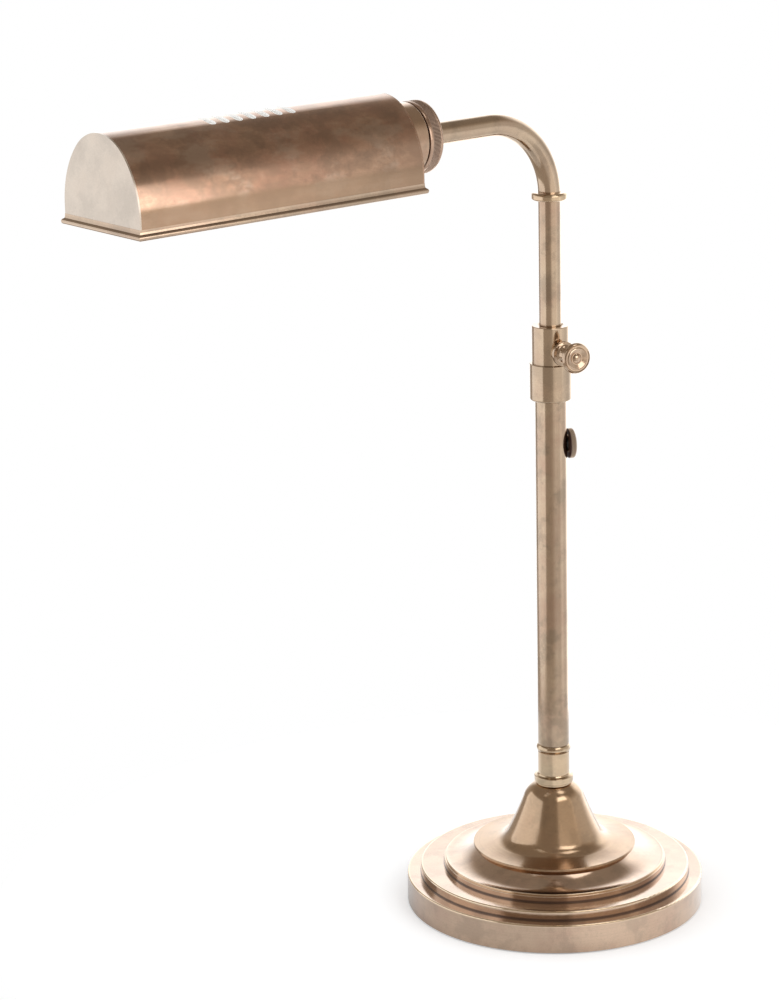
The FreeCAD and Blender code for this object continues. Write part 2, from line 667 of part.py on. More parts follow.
# The boss is turned with a root that the sleeve's own curve then cuts to a saddle
boss_seat = sleeve_radius * 0.8
clamp_boss = turned("clamp_boss", [
    (screw_radius + running_fit, boss_seat),
    (boss_radius, boss_seat),
    (boss_radius, sleeve_radius + boss_length - fine_edge),
    (boss_radius - fine_edge, sleeve_radius + boss_length, fine_edge, 1),
    (screw_radius + running_fit, sleeve_radius + boss_length),
])
cut(clamp_boss, "XZ_Plane", "boss_saddle", [(sleeve_radius,)], boss_radius * 4, symmetric=True)
put(clamp_boss, 0, 0, clamp_height, outward(clamp_azimuth))

# Clamp shoe, screw and knob, along the screw's axis from the post's axis

turned("clamp_shoe", [
    (0, shoe_start),
    (shoe_radius - fine_edge, shoe_start),
    (shoe_radius, shoe_start + fine_edge, fine_edge, 1),
    (shoe_radius, shoe_start + shoe_length),
    (0, shoe_start + shoe_length),
])
put(bodies[-1], 0, 0, clamp_height, outward(clamp_azimuth))

turned("clamp_screw", [
    (0, screw_start),
    (screw_radius - fine_edge, screw_start),
    (screw_radius, screw_start + fine_edge),
    (screw_radius, knob_start),
    (0, knob_start),
])
put(bodies[-1], 0, 0, clamp_height, outward(clamp_azimuth))

knob_end = knob_start + knob_length
head_start = knob_end - knob_dish_depth
disc_end = knob_start + fine_edge + knob_flange_width
ring_middle = (disc_end + head_start) / 2 + knob_ring_width
face_floor = knob_end - knob_groove * 2
turned("clamp_knob", [
    (0, knob_start),
    (knob_ring_radius, knob_start),
    (knob_flange_radius - fine_edge, knob_start + fine_edge),
    (knob_flange_radius, knob_start + fine_edge * 2, fine_edge, 1),
    (knob_flange_radius, disc_end - fine_edge),
    (knob_flange_radius - fine_edge, disc_end, fine_edge, 1),
    (knob_ring_radius, disc_end + fine_edge),
    (knob_waist_radius, ring_middle - knob_ring_width * 1.5, knob_waist_radius, -1),
    (knob_ring_radius - fine_edge, ring_middle - knob_ring_width / 2, knob_waist_radius, -1),
    (knob_ring_radius - fine_edge, ring_middle + knob_ring_width / 2, knob_ring_width * 0.6, 1),
    (knob_waist_radius + fine_edge, ring_middle + knob_ring_width * 0.8),
    (knob_face_radius - fine_edge * 2, head_start + knob_rim_width, knob_dish_depth * 1.4, -1),
    (knob_face_radius, head_start + knob_rim_width * 1.5, knob_rim_width, 1),
    (knob_face_radius - knob_rim_width * 0.6, knob_end - knob_groove, knob_rim_width * 1.5, 1),
    (knob_face_radius - knob_rim_width, face_floor),
    (knob_face_radius - knob_rim_width * 1.5, face_floor),
    (knob_face_radius - knob_rim_width * 2, face_floor + knob_groove, knob_rim_width, 1),
    (knob_button_radius + knob_rim_width, face_floor),
    (knob_button_radius + knob_groove, face_floor - knob_groove),
    (knob_button_radius, face_floor - knob_groove),
    (0, knob_end, dome(knob_button_radius, knob_end - face_floor + knob_groove), 1),
])
put(bodies[-1], 0, 0, clamp_height, outward(clamp_azimuth))

# Rotary switch in the post, with its shaft and knurled knob

turned("switch_body", [
    (0, -switch_can_half),
    (switch_can_radius - fine_edge, -switch_can_half),
    (switch_can_radius, -switch_can_half + fine_edge, fine_edge, 1),
    (switch_can_radius, switch_can_half),
    (switch_neck_radius, switch_can_half),
    (switch_neck_radius, switch_knob_start - end_play * 0.5),
    (switch_shaft_radius + running_fit, switch_knob_start - end_play * 0.5),
    (switch_shaft_radius + running_fit, -switch_can_half * 0.4),
    (0, -switch_can_half * 0.4),
])
put(bodies[-1], 0, 0, switch_height, outward(switch_azimuth))

turned("switch_nut", [
    (switch_neck_radius + thread_fit, switch_nut_start),
    (switch_nut_radius, switch_nut_start),
    (switch_nut_radius, switch_nut_start + switch_nut_thickness - end_play),
    (switch_nut_radius - end_play, switch_nut_start + switch_nut_thickness),
    (switch_neck_radius + thread_fit, switch_nut_start + switch_nut_thickness),
])
put(bodies[-1], 0, 0, switch_height, outward(switch_azimuth))

turned("switch_shaft", [
    (0, -switch_can_half * 0.4 + end_play),
    (switch_shaft_radius, -switch_can_half * 0.4 + end_play),
    (switch_shaft_radius, switch_knob_start),
    (0, switch_knob_start),
])
put(bodies[-1], 0, 0, switch_height, outward(switch_azimuth))

switch_band_top = switch_knob_thickness - switch_face_rise - switch_shoulder
switch_knob = turned("switch_knob", [
    (0, 0),
    (switch_knob_radius - knob_chamfer, 0),
    (switch_knob_radius, knob_chamfer),
    (switch_knob_radius, switch_band_top),
    (switch_face_radius, switch_knob_thickness - switch_face_rise, switch_shoulder * 1.8, 1),
    (0, switch_knob_thickness, dome(switch_face_radius, switch_face_rise), 1),
])
knurl_half = knurl_width / 2 + 0.25
groove = cut(switch_knob, "XY_Plane", "knob_groove", [[
    (switch_knob_radius - knurl_depth, 0),
    (switch_knob_radius + 0.3, -knurl_half),
    (switch_knob_radius + 0.3, knurl_half),
]], switch_band_top - knob_chamfer - knurl_margin * 2,
    reversed_side=True, lift=knob_chamfer + knurl_margin)
polar(switch_knob, groove, "knob_knurl", switch_knurls)
put(switch_knob, switch_knob_start * math.cos(math.radians(number(switch_azimuth))),
    switch_knob_start * math.sin(math.radians(number(switch_azimuth))),
    switch_height, outward(switch_azimuth))

# Guide bush, stem, its two flanges and the ring at its top

ring("guide_bush", stem_radius + running_fit, post_bore - running_fit, guide_bottom, guide_height)

ring("stem_tube", stem_bore, stem_radius, stem_foot, stem_top - stem_foot)

ring("stem_foot_flange", stem_radius, post_bore - 0.4, stem_foot, keeper_thickness)
ring("stem_keeper", stem_radius, post_bore - 0.4, guide_top + end_play, keeper_thickness)

turned("stem_collar", [
    (stem_radius + solder_fit, stem_top - stem_collar_height / 2),
    (stem_collar_radius - 1.2, stem_top - stem_collar_height / 2),
    (stem_collar_radius, stem_top - stem_collar_height / 2 + 1.2, 1.2, 1),
    (stem_collar_radius, stem_top + stem_collar_height / 2 - 1.6),
    (stem_collar_radius - 1.6, stem_top + stem_collar_height / 2, 1.6, 1),
    (stem_radius + solder_fit, stem_top + stem_collar_height / 2),
])

# Arm tube: one quarter bend, then straight to the hub

arm_tube = new_body("arm_tube")
path = new_sketch(arm_tube, "XZ_Plane", "arm_path")
bend = Part.Circle(Vector(-number(bend_radius), 0, 0), Vector(0, 0, 1), number(bend_radius))
arc = path.addGeometry(Part.ArcOfCircle(bend, 0, math.pi / 2), False)
run = path.addGeometry(Part.LineSegment(
    Vector(-number(bend_radius), number(bend_radius), 0),
    Vector(-number(arm_reach), number(bend_radius), 0)), False)
path.addConstraint(Sketcher.Constraint("Coincident", arc, 1, -1, 1))
path.addConstraint(Sketcher.Constraint("PointOnObject", arc, 3, -1))
bind(path, path.addConstraint(Sketcher.Constraint("Radius", arc, number(bend_radius))), bend_radius)
path.addConstraint(Sketcher.Constraint("Tangent", arc, 2, run, 1))
path.addConstraint(Sketcher.Constraint("Horizontal", run))
bind(path, path.addConstraint(Sketcher.Constraint("DistanceX", run, 2, -1, 1, number(arm_reach))), arm_reach)
section = new_sketch(arm_tube, "XY_Plane", "arm_section")
draw_circle(section, stem_radius)
draw_circle(section, stem_bore)
doc.recompute()
pipe = arm_tube.newObject("PartDesign::AdditivePipe", "arm_pipe")
pipe.Profile = section
pipe.Spine = (path, [])
doc.recompute()
put(arm_tube, 0, 0, stem_top)

# Hub on the arm's end, which the neck turns on and the lock ring screws to

turned("arm_hub", [
    (stem_radius + solder_fit, ring_start + ring_width - ring_web - 2.2),
    (hub_radius, ring_start + ring_width - ring_web - 2.2),
    (hub_radius, hub_flange_start),
    (hub_flange_radius, hub_flange_start),
    (hub_flange_radius, hub_end - 0.5),
    (hub_flange_radius - 0.5, hub_end),
    (stem_radius + solder_fit, hub_end),
])
put(bodies[-1], 0, 0, arm_height, ALONG_ARM)

# Knurled lock ring: a web that bears on the neck and a rim that hangs over the hub

lock_ring = turned("lock_ring", [
    (hub_radius + running_fit, ring_width - ring_web),
    (hub_radius + running_fit + 3.2, ring_width - ring_web),
    (hub_radius + running_fit + 3.2, 1.6),
    (stem_radius + running_fit + 0.3, 1.6),
    (stem_radius + running_fit + 0.3, 0),
    (ring_radius - 1.4, 0),
    (ring_radius, 1.0, 1.4, 1),
    (ring_radius, ring_width - fine_edge),
    (ring_radius - fine_edge, ring_width),
    (hub_radius + running_fit, ring_width),
])
ring_groove = cut(lock_ring, "XY_Plane", "ring_groove", [[
    (ring_radius - knurl_depth, 0),
    (ring_radius + 0.3, -knurl_half),
    (ring_radius + 0.3, knurl_half),
]], ring_band, reversed_side=True, lift=(ring_width - ring_band) / 2 + 0.3)
polar(lock_ring, ring_groove, "ring_knurl", ring_knurls)
put(lock_ring, -ring_start, 0, arm_height, ALONG_ARM)

# Neck: a turned cup soldered to the shade's end

turned("shade_neck", [
    (hub_radius + running_fit, neck_start),
    (ring_radius - 0.5, neck_start),
    (ring_radius, neck_start + 0.5, 0.5, 1),
    (ring_radius, shade_far),
    (ring_radius - neck_wall, shade_far),
    (ring_radius - neck_wall, neck_start + neck_floor),
    (hub_radius + running_fit, neck_start + neck_floor),
])
put(bodies[-1], 0, 0, arm_height, ALONG_ARM)

# Shade: an arched trough of sheet between two end plates

sheet_span = shade_side_curve - shade_top_curve
sheet_drop = root(sheet_span * sheet_span - (shade_side_curve - shade_half_width) * (shade_side_curve - shade_half_width))
spring = shade_crown - shade_top_curve - sheet_drop


def arch(inset, foot):
    """Corners of the shade's arch, drawn from the right foot over the crown to the left foot."""
    top = shade_top_curve - inset
    flank = shade_side_curve - inset
    across = (shade_side_curve - shade_half_width) * top / sheet_span
    up = shade_crown - shade_top_curve + sheet_drop * top / sheet_span
    wide = shade_half_width - inset
    return [
        (wide, foot),
        (wide, spring),
        (across, up, flank, 1),
        (-across, up, top, 1),
        (-wide, spring, flank, 1),
        (-wide, foot),
    ]


def arch_back(inset, foot):
    """The same corners, drawn from the left foot back to the right one."""
    over = arch(inset, foot)
    wide, across, up, top, flank = over[0][0], over[2][0], over[2][1], over[3][2], over[2][2]
    return [
        (-wide, foot),
        (-wide, spring),
        (-across, up, flank, -1),
        (across, up, top, -1),
        (wide, spring, flank, -1),
        (wide, foot),
    ]


trough_length = shade_near - shade_far - shade_wall * 2
shade_trough = new_body("shade_trough")
padded(shade_trough, "YZ_Plane", "trough_sheet",
       [arch(0, -shade_depth) + arch_back(shade_wall, -shade_depth)],
       trough_length, symmetric=True)
first_vent = -(vent_pitch * ((number(vent_count) - 1) / 2))
slots = []
slot_reach = (vent_length - vent_width) / 2
for i in range(int(round(number(vent_count)))):
    middle = first_vent + vent_pitch * i - vent_shift
    slots.append([
        (middle - vent_width / 2, slot_reach, None, 1),
        (middle - vent_width / 2, -slot_reach),
        (middle + vent_width / 2, -slot_reach, None, 1),
        (middle + vent_width / 2, slot_reach),
    ])
cut(shade_trough, "XY_Plane", "vent_slots", slots, shade_crown + 5, reversed_side=True)
shade_middle = (shade_near + shade_far) / 2
put(shade_trough, -shade_middle, 0, arm_height)

shade_cap_near = new_body("shade_cap_near")
padded(shade_cap_near, "YZ_Plane", "near_plate", [arch(0, -shade_depth)], shade_wall)
put(shade_cap_near, -shade_near, 0, arm_height)

shade_cap_far = new_body("shade_cap_far")
padded(shade_cap_far, "YZ_Plane", "far_plate",
       [arch(0, -shade_depth), (ring_radius - neck_wall,)], shade_wall)
put(shade_cap_far, -shade_far - shade_wall, 0, arm_height)

# Moulding round the mouth: four strips of one section, mitred at the corners


def moulding(label, run_length, base_angle, across, back):
    """One strip along its own X axis, its back on the shade at Y zero, facing +Y."""
    body = new_body(label)
    outline = [
        (0, 0),
        (rim_neck, 0),
        (rim_neck, rim_bead, rim_bead * 0.54, 1),
        (rim_neck * 0.5, rim_bead * 1.1),
        (rim_neck * 0.2, rim_height, rim_height, -1),
        (0, rim_height),
    ]
    padded(body, "YZ_Plane", label + "_strip", [outline], run_length + rim_projection * 2 + 2, symmetric=True)
    reach = run_length / 2
    for sign in (1, -1):
        cut(body, "XY_Plane", label + ("_mitre_right" if sign > 0 else "_mitre_left"), [[
            (reach * sign, 0),
            (reach * sign + (rim_projection + 5) * sign, rim_projection + 5),
            (reach * sign + (rim_projection + 5) * sign, 0 - rim_projection),
            (reach * sign, 0 - rim_projection),
        ]], rim_height + 5, reversed_side=True)
    put(body, across, back, arm_height - shade_depth, Rotation(Vector(0, 0, 1), base_angle))
    return body


moulding("rim_front", shade_length, 180, -shade_middle, -shade_half_width)
moulding("rim_back", shade_length, 0, -shade_middle, shade_half_width)
moulding("rim_near", shade_half_width * 2, 90, -shade_near, 0)
rim_far = moulding("rim_far", shade_half_width * 2, -90, -shade_far, 0)
cut(rim_far, "XZ_Plane", "neck_clearance", [(ring_radius + solder_fit, 0, shade_depth)],
    rim_projection * 6, symmetric=True)

# Lampholder and tubular bulb, inside the shade on the arm's hub

turned("lampholder_shell", [
    (stem_bore, holder_start),
    (holder_radius - 2.0, holder_start),
    (holder_radius, holder_start + 2.0, 2.0, 1),
    (holder_radius, holder_mouth - 0.5),
    (holder_radius - 0.5, holder_mouth, 0.5, 1),
    (holder_radius - holder_wall, holder_mouth),
    (holder_radius - holder_wall, holder_start + 2.0),
    (stem_bore, holder_start + 2.0),
])
put(bodies[-1], 0, 0, arm_height, ALONG_ARM)

turned("lampholder_core", [
    (0, holder_start + 2.1),
    (holder_radius - holder_wall - 0.1, holder_start + 2.1),
    (holder_radius - holder_wall - 0.1, holder_mouth - 1.0),
    (holder_bore, holder_mouth - 1.0),
    (holder_bore, holder_mouth - socket_depth),
    (0, holder_mouth - socket_depth),
])
put(bodies[-1], 0, 0, arm_height, ALONG_ARM)

cap_start = holder_mouth - socket_depth + 0.3
cap_end = cap_start + bulb_cap_length
turned("bulb_cap", [
    (0, cap_start),
    (bulb_cap_radius * 0.45, cap_start),
    (bulb_cap_radius * 0.62, cap_start + 1.6),
    (bulb_cap_radius, cap_start + 3.4),
    (bulb_cap_radius, cap_end - 1.0),
    (bulb_cap_radius + 0.6, cap_end),
    (0, cap_end),
])
put(bodies[-1], 0, 0, arm_height, ALONG_ARM)

glass_end = cap_end + bulb_length
turned("bulb_glass", [
    (0, cap_end),
    (bulb_cap_radius - 0.4, cap_end),
    (bulb_radius, cap_end + 8.0, 9.5, -1),
    (bulb_radius, glass_end - bulb_radius),
    (0, glass_end, bulb_radius, 1),
    (0, glass_end - glass_wall),
    (bulb_radius - glass_wall, glass_end - bulb_radius, bulb_radius - glass_wall, -1),
    (bulb_radius - glass_wall, cap_end + 8.0 + glass_wall),
    (0, cap_end + glass_wall * 4, bulb_radius * 1.6, -1),
])
put(bodies[-1], 0, 0, arm_height, ALONG_ARM)

# Check every object and write each piece

doc.recompute()
for item in doc.Objects:
    if "Invalid" in item.State or "Error" in item.State:
        raise RuntimeError("%s is %s" % (item.Name, item.State))
for body in bodies:
    shape = body.Shape
    if shape.isNull() or not shape.isValid() or shape.Volume <= 0:
        raise RuntimeError(body.Label + " has no valid solid")
    if len(shape.Solids) != 1:
        raise RuntimeError(body.Label + " has %d solids" % len(shape.Solids))
    shape.exportStep("parts/%s.step" % body.Label)
print(len(bodies), "pieces written")
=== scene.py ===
import math

import bpy
import numpy as np
from mathutils import Matrix, Vector


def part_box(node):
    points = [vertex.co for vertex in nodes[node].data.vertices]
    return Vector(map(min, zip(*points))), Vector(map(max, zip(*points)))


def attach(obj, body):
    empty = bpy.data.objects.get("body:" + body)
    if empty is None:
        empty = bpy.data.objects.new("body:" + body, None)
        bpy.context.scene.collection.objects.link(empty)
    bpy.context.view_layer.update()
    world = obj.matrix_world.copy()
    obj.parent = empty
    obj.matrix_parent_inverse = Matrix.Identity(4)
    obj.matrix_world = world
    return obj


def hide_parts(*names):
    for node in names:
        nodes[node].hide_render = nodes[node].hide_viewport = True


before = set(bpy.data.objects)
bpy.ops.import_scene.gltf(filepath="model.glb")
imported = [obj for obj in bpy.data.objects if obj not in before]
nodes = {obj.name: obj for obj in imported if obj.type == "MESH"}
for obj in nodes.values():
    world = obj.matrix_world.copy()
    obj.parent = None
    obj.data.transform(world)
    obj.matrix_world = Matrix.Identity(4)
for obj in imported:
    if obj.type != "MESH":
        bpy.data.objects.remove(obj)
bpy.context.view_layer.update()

scene = bpy.context.scene

# Places on the lamp, in metres

FOOT_RADIUS = 0.0890
MIDDLE_RADIUS = 0.0808
UPPER_RADIUS = 0.0666
COVE_INNER = 0.0466
FOOT_TOP = 0.0178
MIDDLE_TOP = 0.0230
UPPER_TOP = 0.0275
COVE_TOP = 0.0346
ARM_HEIGHT = 0.4745
ARCH_CENTRE = ARM_HEIGHT - 0.006
SLOT_BOTTOM = ARM_HEIGHT + 0.018
SLOT_CLEAR = ARM_HEIGHT + 0.020
# Top and full depth of the painted shade strip along the bottom of the shade's sheet
PAINTED_STRIP_TOP = ARM_HEIGHT - 0.0065
PAINTED_STRIP_FULL = ARM_HEIGHT - 0.0105

# Scales of the marks in the metal, the larger the finer, and how strongly its lacquer bends light

DRAW_MARKS = 2600.0
TOOL_MARKS = 2200.0
LONG_MARKS = 24.0
ROLL_MARKS = 26.0
CLOUDS = 20.0
SMUDGES = 48.0
BLOTCHES = 85.0
GRAIN = 1100.0
LACQUER_IOR = 1.7

# Spots of rubbed brass with a painted highlight on the foot's edges and of painted shade in its
# corners and under the bell's lip: each spot's radius, half of its band there and the fade beside
# it, then its height, half and fade

RUBBED_AND_LIT_EDGES = ((FOOT_RADIUS, 0.0007, 0.0009, FOOT_TOP, 0.0006, 0.0010),
                (MIDDLE_RADIUS, 0.0007, 0.0009, MIDDLE_TOP, 0.0006, 0.0009),
                (UPPER_RADIUS, 0.0008, 0.0009, UPPER_TOP, 0.0006, 0.0012))
PAINTED_SHADE_CORNERS = ((MIDDLE_RADIUS, 0.0001, 0.0007, FOOT_TOP, 0.0002, 0.0008),
                (UPPER_RADIUS, 0.0001, 0.0008, MIDDLE_TOP, 0.0002, 0.0008),
                (COVE_INNER, 0.0006, 0.0012, COVE_TOP, 0.0002, 0.0010))

# Colours

TUBE = (0.50, 0.37, 0.25)
SPUN = (0.50, 0.335, 0.20)
FOOT = (0.58, 0.41, 0.285)
BRIGHT = (0.60, 0.45, 0.29)
NECK = (0.50, 0.34, 0.22)
KNOB = (0.56, 0.41, 0.28)
SWITCH = (0.36, 0.24, 0.18)
SHEET_METAL = (0.47, 0.29, 0.185)
# The near end plate's paler copy of the sheet colour: a painted sheen for the bright light it
# faces
PAINTED_PALE_NEAR_PLATE = (0.53, 0.45, 0.37)
RIM = (0.46, 0.335, 0.23)
RING = (0.46, 0.32, 0.235)
PLAIN_RING = (0.44, 0.32, 0.235)
SWITCH_KNOB = (0.54, 0.40, 0.28)
# Rubbed brass and a painted highlight on the foot's step edges
RUBBED_AND_GLINT = (0.86, 0.68, 0.46)
# Painted shade in the foot's inner corners and under the bell's lip
PAINTED_CORNER_SHADE = (0.10, 0.055, 0.04)
PALE_SHEET = (0.56, 0.44, 0.34)
# Painted shade along the bottom of the shade's sheet
PAINTED_SHADE_STRIP = (0.27, 0.165, 0.09)
ENAMEL = (0.93, 0.925, 0.91)
ENAMEL_SHADE = (0.86, 0.85, 0.82)
# Faint painted glow of the enamel inside the shade, though the lamp is unlit
PAINTED_ENAMEL_GLOW = (1.0, 0.98, 0.95)
# Dirt and painted shade down in the knurl's grooves
GROOVE_DIRT_AND_SHADE = (0.05, 0.026, 0.02)
# Rubbed wear and a painted glint on the knurl's crests
CREST_WEAR_AND_GLINT = (0.92, 0.82, 0.70)
# Painted shade on the back face of the switch knob
PAINTED_SHADE_MAROON = (0.055, 0.02, 0.018)
FELT = (0.03, 0.09, 0.05)
IRON = (0.07, 0.07, 0.075)
STEEL = (0.58, 0.58, 0.60)
LEAD_WIRE = (0.55, 0.55, 0.57)
COIL_WIRE = (0.12, 0.12, 0.13)
MOULDING = (0.022, 0.021, 0.02)
GLAZE = (0.86, 0.85, 0.80)
GLASS = (0.98, 0.98, 0.96)
PAPER = (0.86, 0.86, 0.86)
PAPER_GRAIN = (0.84, 0.84, 0.84)
DIM_WARM = (1.0, 0.86, 0.72)
WHITE = (1.0, 1.0, 1.0)


# Shader tools


class Value:
    """A number that varies over a surface, written with the plain operators."""

    def __init__(self, sheet, socket):
        self.sheet = sheet
        self.socket = socket

    def maths(self, operation, first, second=0.0):
        """A value worked out from two others."""
        return self.sheet.node("ShaderNodeMath", {"operation": operation}, {0: first, 1: second})

    def __add__(self, other):
        return self.maths("ADD", self, other)

    def __radd__(self, other):
        return self.maths("ADD", other, self)

    def __sub__(self, other):
        return self.maths("SUBTRACT", self, other)

    def __rsub__(self, other):
        return self.maths("SUBTRACT", other, self)

    def __mul__(self, other):
        return self.maths("MULTIPLY", self, other)

    def __rmul__(self, other):
        return self.maths("MULTIPLY", other, self)

    def __truediv__(self, other):
        return self.maths("DIVIDE", self, other)

    def __rtruediv__(self, other):
        return self.maths("DIVIDE", other, self)

    def __pow__(self, other):
        return self.maths("POWER", self, other)

    def __neg__(self):
        return self.maths("MULTIPLY", self, -1.0)

    def __abs__(self):
        return self.maths("ABSOLUTE", self)

    def turn_from(self, other):
        """The angle in radians of the point (other, self)."""
        return self.maths("ARCTAN2", self, other)

    def larger(self, other):
        """The larger of two values."""
        return self.maths("MAXIMUM", self, other)

    def step(self, low, high, start=0.0, end=1.0):
        """A smooth rise from start at low to end at high."""
        return self.sheet.node("ShaderNodeMapRange", {"interpolation_type": "SMOOTHSTEP"},
                               {"Value": self, "From Min": low, "From Max": high,
                                "To Min": start, "To Max": end})

    def band(self, middle, half, soft):
        """One within half of middle, falling to nothing over soft on both sides."""
        return abs(self - middle).step(half + soft, half)


class Sheet:
    """A node tree and the few calls that fill it."""

    def __init__(self, owner, output):
        owner.use_nodes = True
        self.owner = owner
        self.tree = owner.node_tree
        self.tree.nodes.clear()
        self.output = self.tree.nodes.new(output)

    def feed(self, socket, item):
        """Set an input from a value, a socket or a number."""
        if isinstance(item, Value):
            self.tree.links.new(item.socket, socket)
        elif isinstance(item, bpy.types.NodeSocket):
            self.tree.links.new(item, socket)
        else:
            socket.default_value = item

    def node(self, kind, settings, inputs, output=0):
        """Any node: its settings first, then the values or links of its sockets."""
        made = self.tree.nodes.new(kind)
        for name, setting in settings.items():
            setattr(made, name, setting)
        for name, item in inputs.items():
            self.feed(made.inputs[name], item)
        found = made.outputs[output]
        return Value(self, found) if found.type == "VALUE" else found

    def split(self, vector):
        """The three parts of a vector."""
        made = self.tree.nodes.new("ShaderNodeSeparateXYZ")
        self.tree.links.new(vector, made.inputs[0])
        return [Value(self, out) for out in made.outputs]

    def join(self, x, y, z):
        """A place from its three values."""
        return self.node("ShaderNodeCombineXYZ", {}, {0: x, 1: y, 2: z})

    def mix(self, factor, first, second):
        """A colour between two colours."""
        return self.node("ShaderNodeMix", {"data_type": "RGBA"},
                         {0: factor, 6: first, 7: second}, 2)

    def seen(self):
        """One for rays from the camera or through glass, nothing for the rest."""
        camera = self.node("ShaderNodeLightPath", {}, {}, "Is Camera Ray")
        return camera.larger(self.node("ShaderNodeLightPath", {}, {}, "Is Transmission Ray"))

    def mirrored(self):
        """One for rays that come off a polished surface."""
        return self.node("ShaderNodeLightPath", {}, {}, "Is Glossy Ray")

    def finish(self, shader):
        """Join the shader to the output and give the material."""
        self.tree.links.new(shader, self.output.inputs["Surface"])
        return self.owner


class Paint(Sheet):
    """One material."""

    def __init__(self, name):
        super().__init__(bpy.data.materials.new(name), "ShaderNodeOutputMaterial")
        self.here = self.node("ShaderNodeTexCoord", {}, {}, "Object")

    def noise(self, scale, detail=3.0, roughness=0.5, vector=None):
        """Cloudy noise from 0 to 1."""
        return self.node("ShaderNodeTexNoise", {},
                         {"Vector": vector or self.here, "Scale": scale, "Detail": detail,
                          "Roughness": roughness})

    def bump(self, height, strength, distance, below=None):
        """A normal bent by a height."""
        inputs = {"Height": height, "Strength": strength, "Distance": distance}
        if below is not None:
            inputs["Normal"] = below
        return self.node("ShaderNodeBump", {}, inputs)

    def shader(self, **inputs):
        """A shader; keys are its sockets' names with _ for a space."""
        return self.node("ShaderNodeBsdfPrincipled", {},
                         {name.replace("_", " "): item for name, item in inputs.items()})

    def surface(self, **inputs):
        """The finished material with one shader."""
        return self.finish(self.shader(**inputs))


def rgb(red, green, blue):
    """A colour as the shader sockets take it."""
    return (red, green, blue, 1.0)


def scaled(colour, share):
    """The colour made darker or lighter by one share."""
    return rgb(*[part * share for part in colour])


# Finishes


def lines_along_post(paint):
    """Fine draw marks that run up the post."""
    x, y, z = paint.split(paint.here)
    return paint.noise(1.0, 2.0, 0.6,
                       paint.join(x * DRAW_MARKS, y * DRAW_MARKS, z * LONG_MARKS))


def rings_about_post(paint):
    """Fine tool marks round the post's axis: they change only with the reach and the height."""
    x, y, z = paint.split(paint.here)
    reach = (x * x + y * y) ** 0.5
    return paint.noise(1.0, 2.0, 0.6, paint.join(reach * TOOL_MARKS, z * TOOL_MARKS, 0.0))


def lines_along_arm(paint):
    """Fine roll marks that run along the shade."""
    x, y, z = paint.split(paint.here)
    return paint.noise(1.0, 2.0, 0.6,
                       paint.join(x * ROLL_MARKS, y * TOOL_MARKS, z * TOOL_MARKS))


def rings_about_arm(paint):
    """Fine tool marks round the arm's axis."""
    x, y, z = paint.split(paint.here)
    up = z - ARM_HEIGHT
    reach = (y * y + up * up) ** 0.5
    return paint.noise(1.0, 2.0, 0.6, paint.join(x * TOOL_MARKS, reach * TOOL_MARKS, 0.0))


def aged_metal(paint, colour, gloss, lines, tarnish=0.5, red=0.85, depth=0.000012):
    """Colour, roughness and bump of lacquered brass gone dull in clouds, smudges and specks."""
    clouds = paint.noise(CLOUDS, 4.0, 0.6)
    blotches = paint.noise(BLOTCHES, 3.0, 0.55)
    grain = paint.noise(GRAIN, 2.0, 0.6)
    smudges = paint.noise(SMUDGES, 5.0, 0.68)
    marks = lines(paint)
    dull = (clouds * 0.6 + blotches * 0.4).step(0.40, 0.66)
    aged = rgb(colour[0] * 0.80, colour[1] * 0.80 * red, colour[2] * 0.80 * red)
    tone = paint.mix(dull * tarnish, rgb(*colour), aged)
    specks = (grain * 0.5 + marks * 0.5).step(0.42, 0.62)
    tone = paint.mix(specks * 0.22, tone, scaled(colour, 0.62))
    tone = paint.mix(smudges.step(0.47, 0.62) * tarnish * 0.8, tone, scaled(colour, 0.55))
    rough = gloss + dull * 0.05 + marks * 0.06 + grain * 0.03
    normal = paint.bump(marks * 0.7 + grain * 0.5, 0.5, depth)
    return tone, rough, normal


def brass(name, colour, gloss, lines, tarnish=0.5):
    """Aged brass under a thin lacquer."""
    paint = Paint(name)
    tone, rough, normal = aged_metal(paint, colour, gloss, lines, tarnish)
    return paint.surface(Base_Color=tone, Metallic=1.0, Roughness=rough, Normal=normal,
                         Coat_Weight=0.6, Coat_Roughness=0.10, Coat_IOR=LACQUER_IOR)


def spots(reach, z, rows):
    """One near any row's radius and height, nothing elsewhere."""
    found = [reach.band(radius, half, fade) * z.band(height, half_height, fade_height)
             for radius, half, fade, height, half_height, fade_height in rows]
    return found[0].larger(found[1]).larger(found[2])


def foot_finish(name, colour, gloss):
    """Spun brass with bright rubbed edges on the steps, partly a painted highlight, and painted
    shade in the corners.
    """
    paint = Paint(name)
    tone, rough, normal = aged_metal(paint, colour, gloss, rings_about_post)
    x, y, z = paint.split(paint.here)
    reach = (x * x + y * y) ** 0.5
    edges = spots(reach, z, RUBBED_AND_LIT_EDGES)
    corners = spots(reach, z, PAINTED_SHADE_CORNERS)
    # Painted highlight with rubbed wear on the step edges, painted shade in the corners and under
    # the bell's lip
    tone = paint.mix(edges * 0.6, tone, rgb(*RUBBED_AND_GLINT))
    tone = paint.mix(corners * 0.85, tone, rgb(*PAINTED_CORNER_SHADE))
    rough = rough - edges * 0.04 + corners * 0.2
    return paint.surface(Base_Color=tone, Metallic=1.0, Roughness=rough, Normal=normal,
                         Coat_Weight=1.0, Coat_Roughness=0.10, Coat_IOR=LACQUER_IOR)


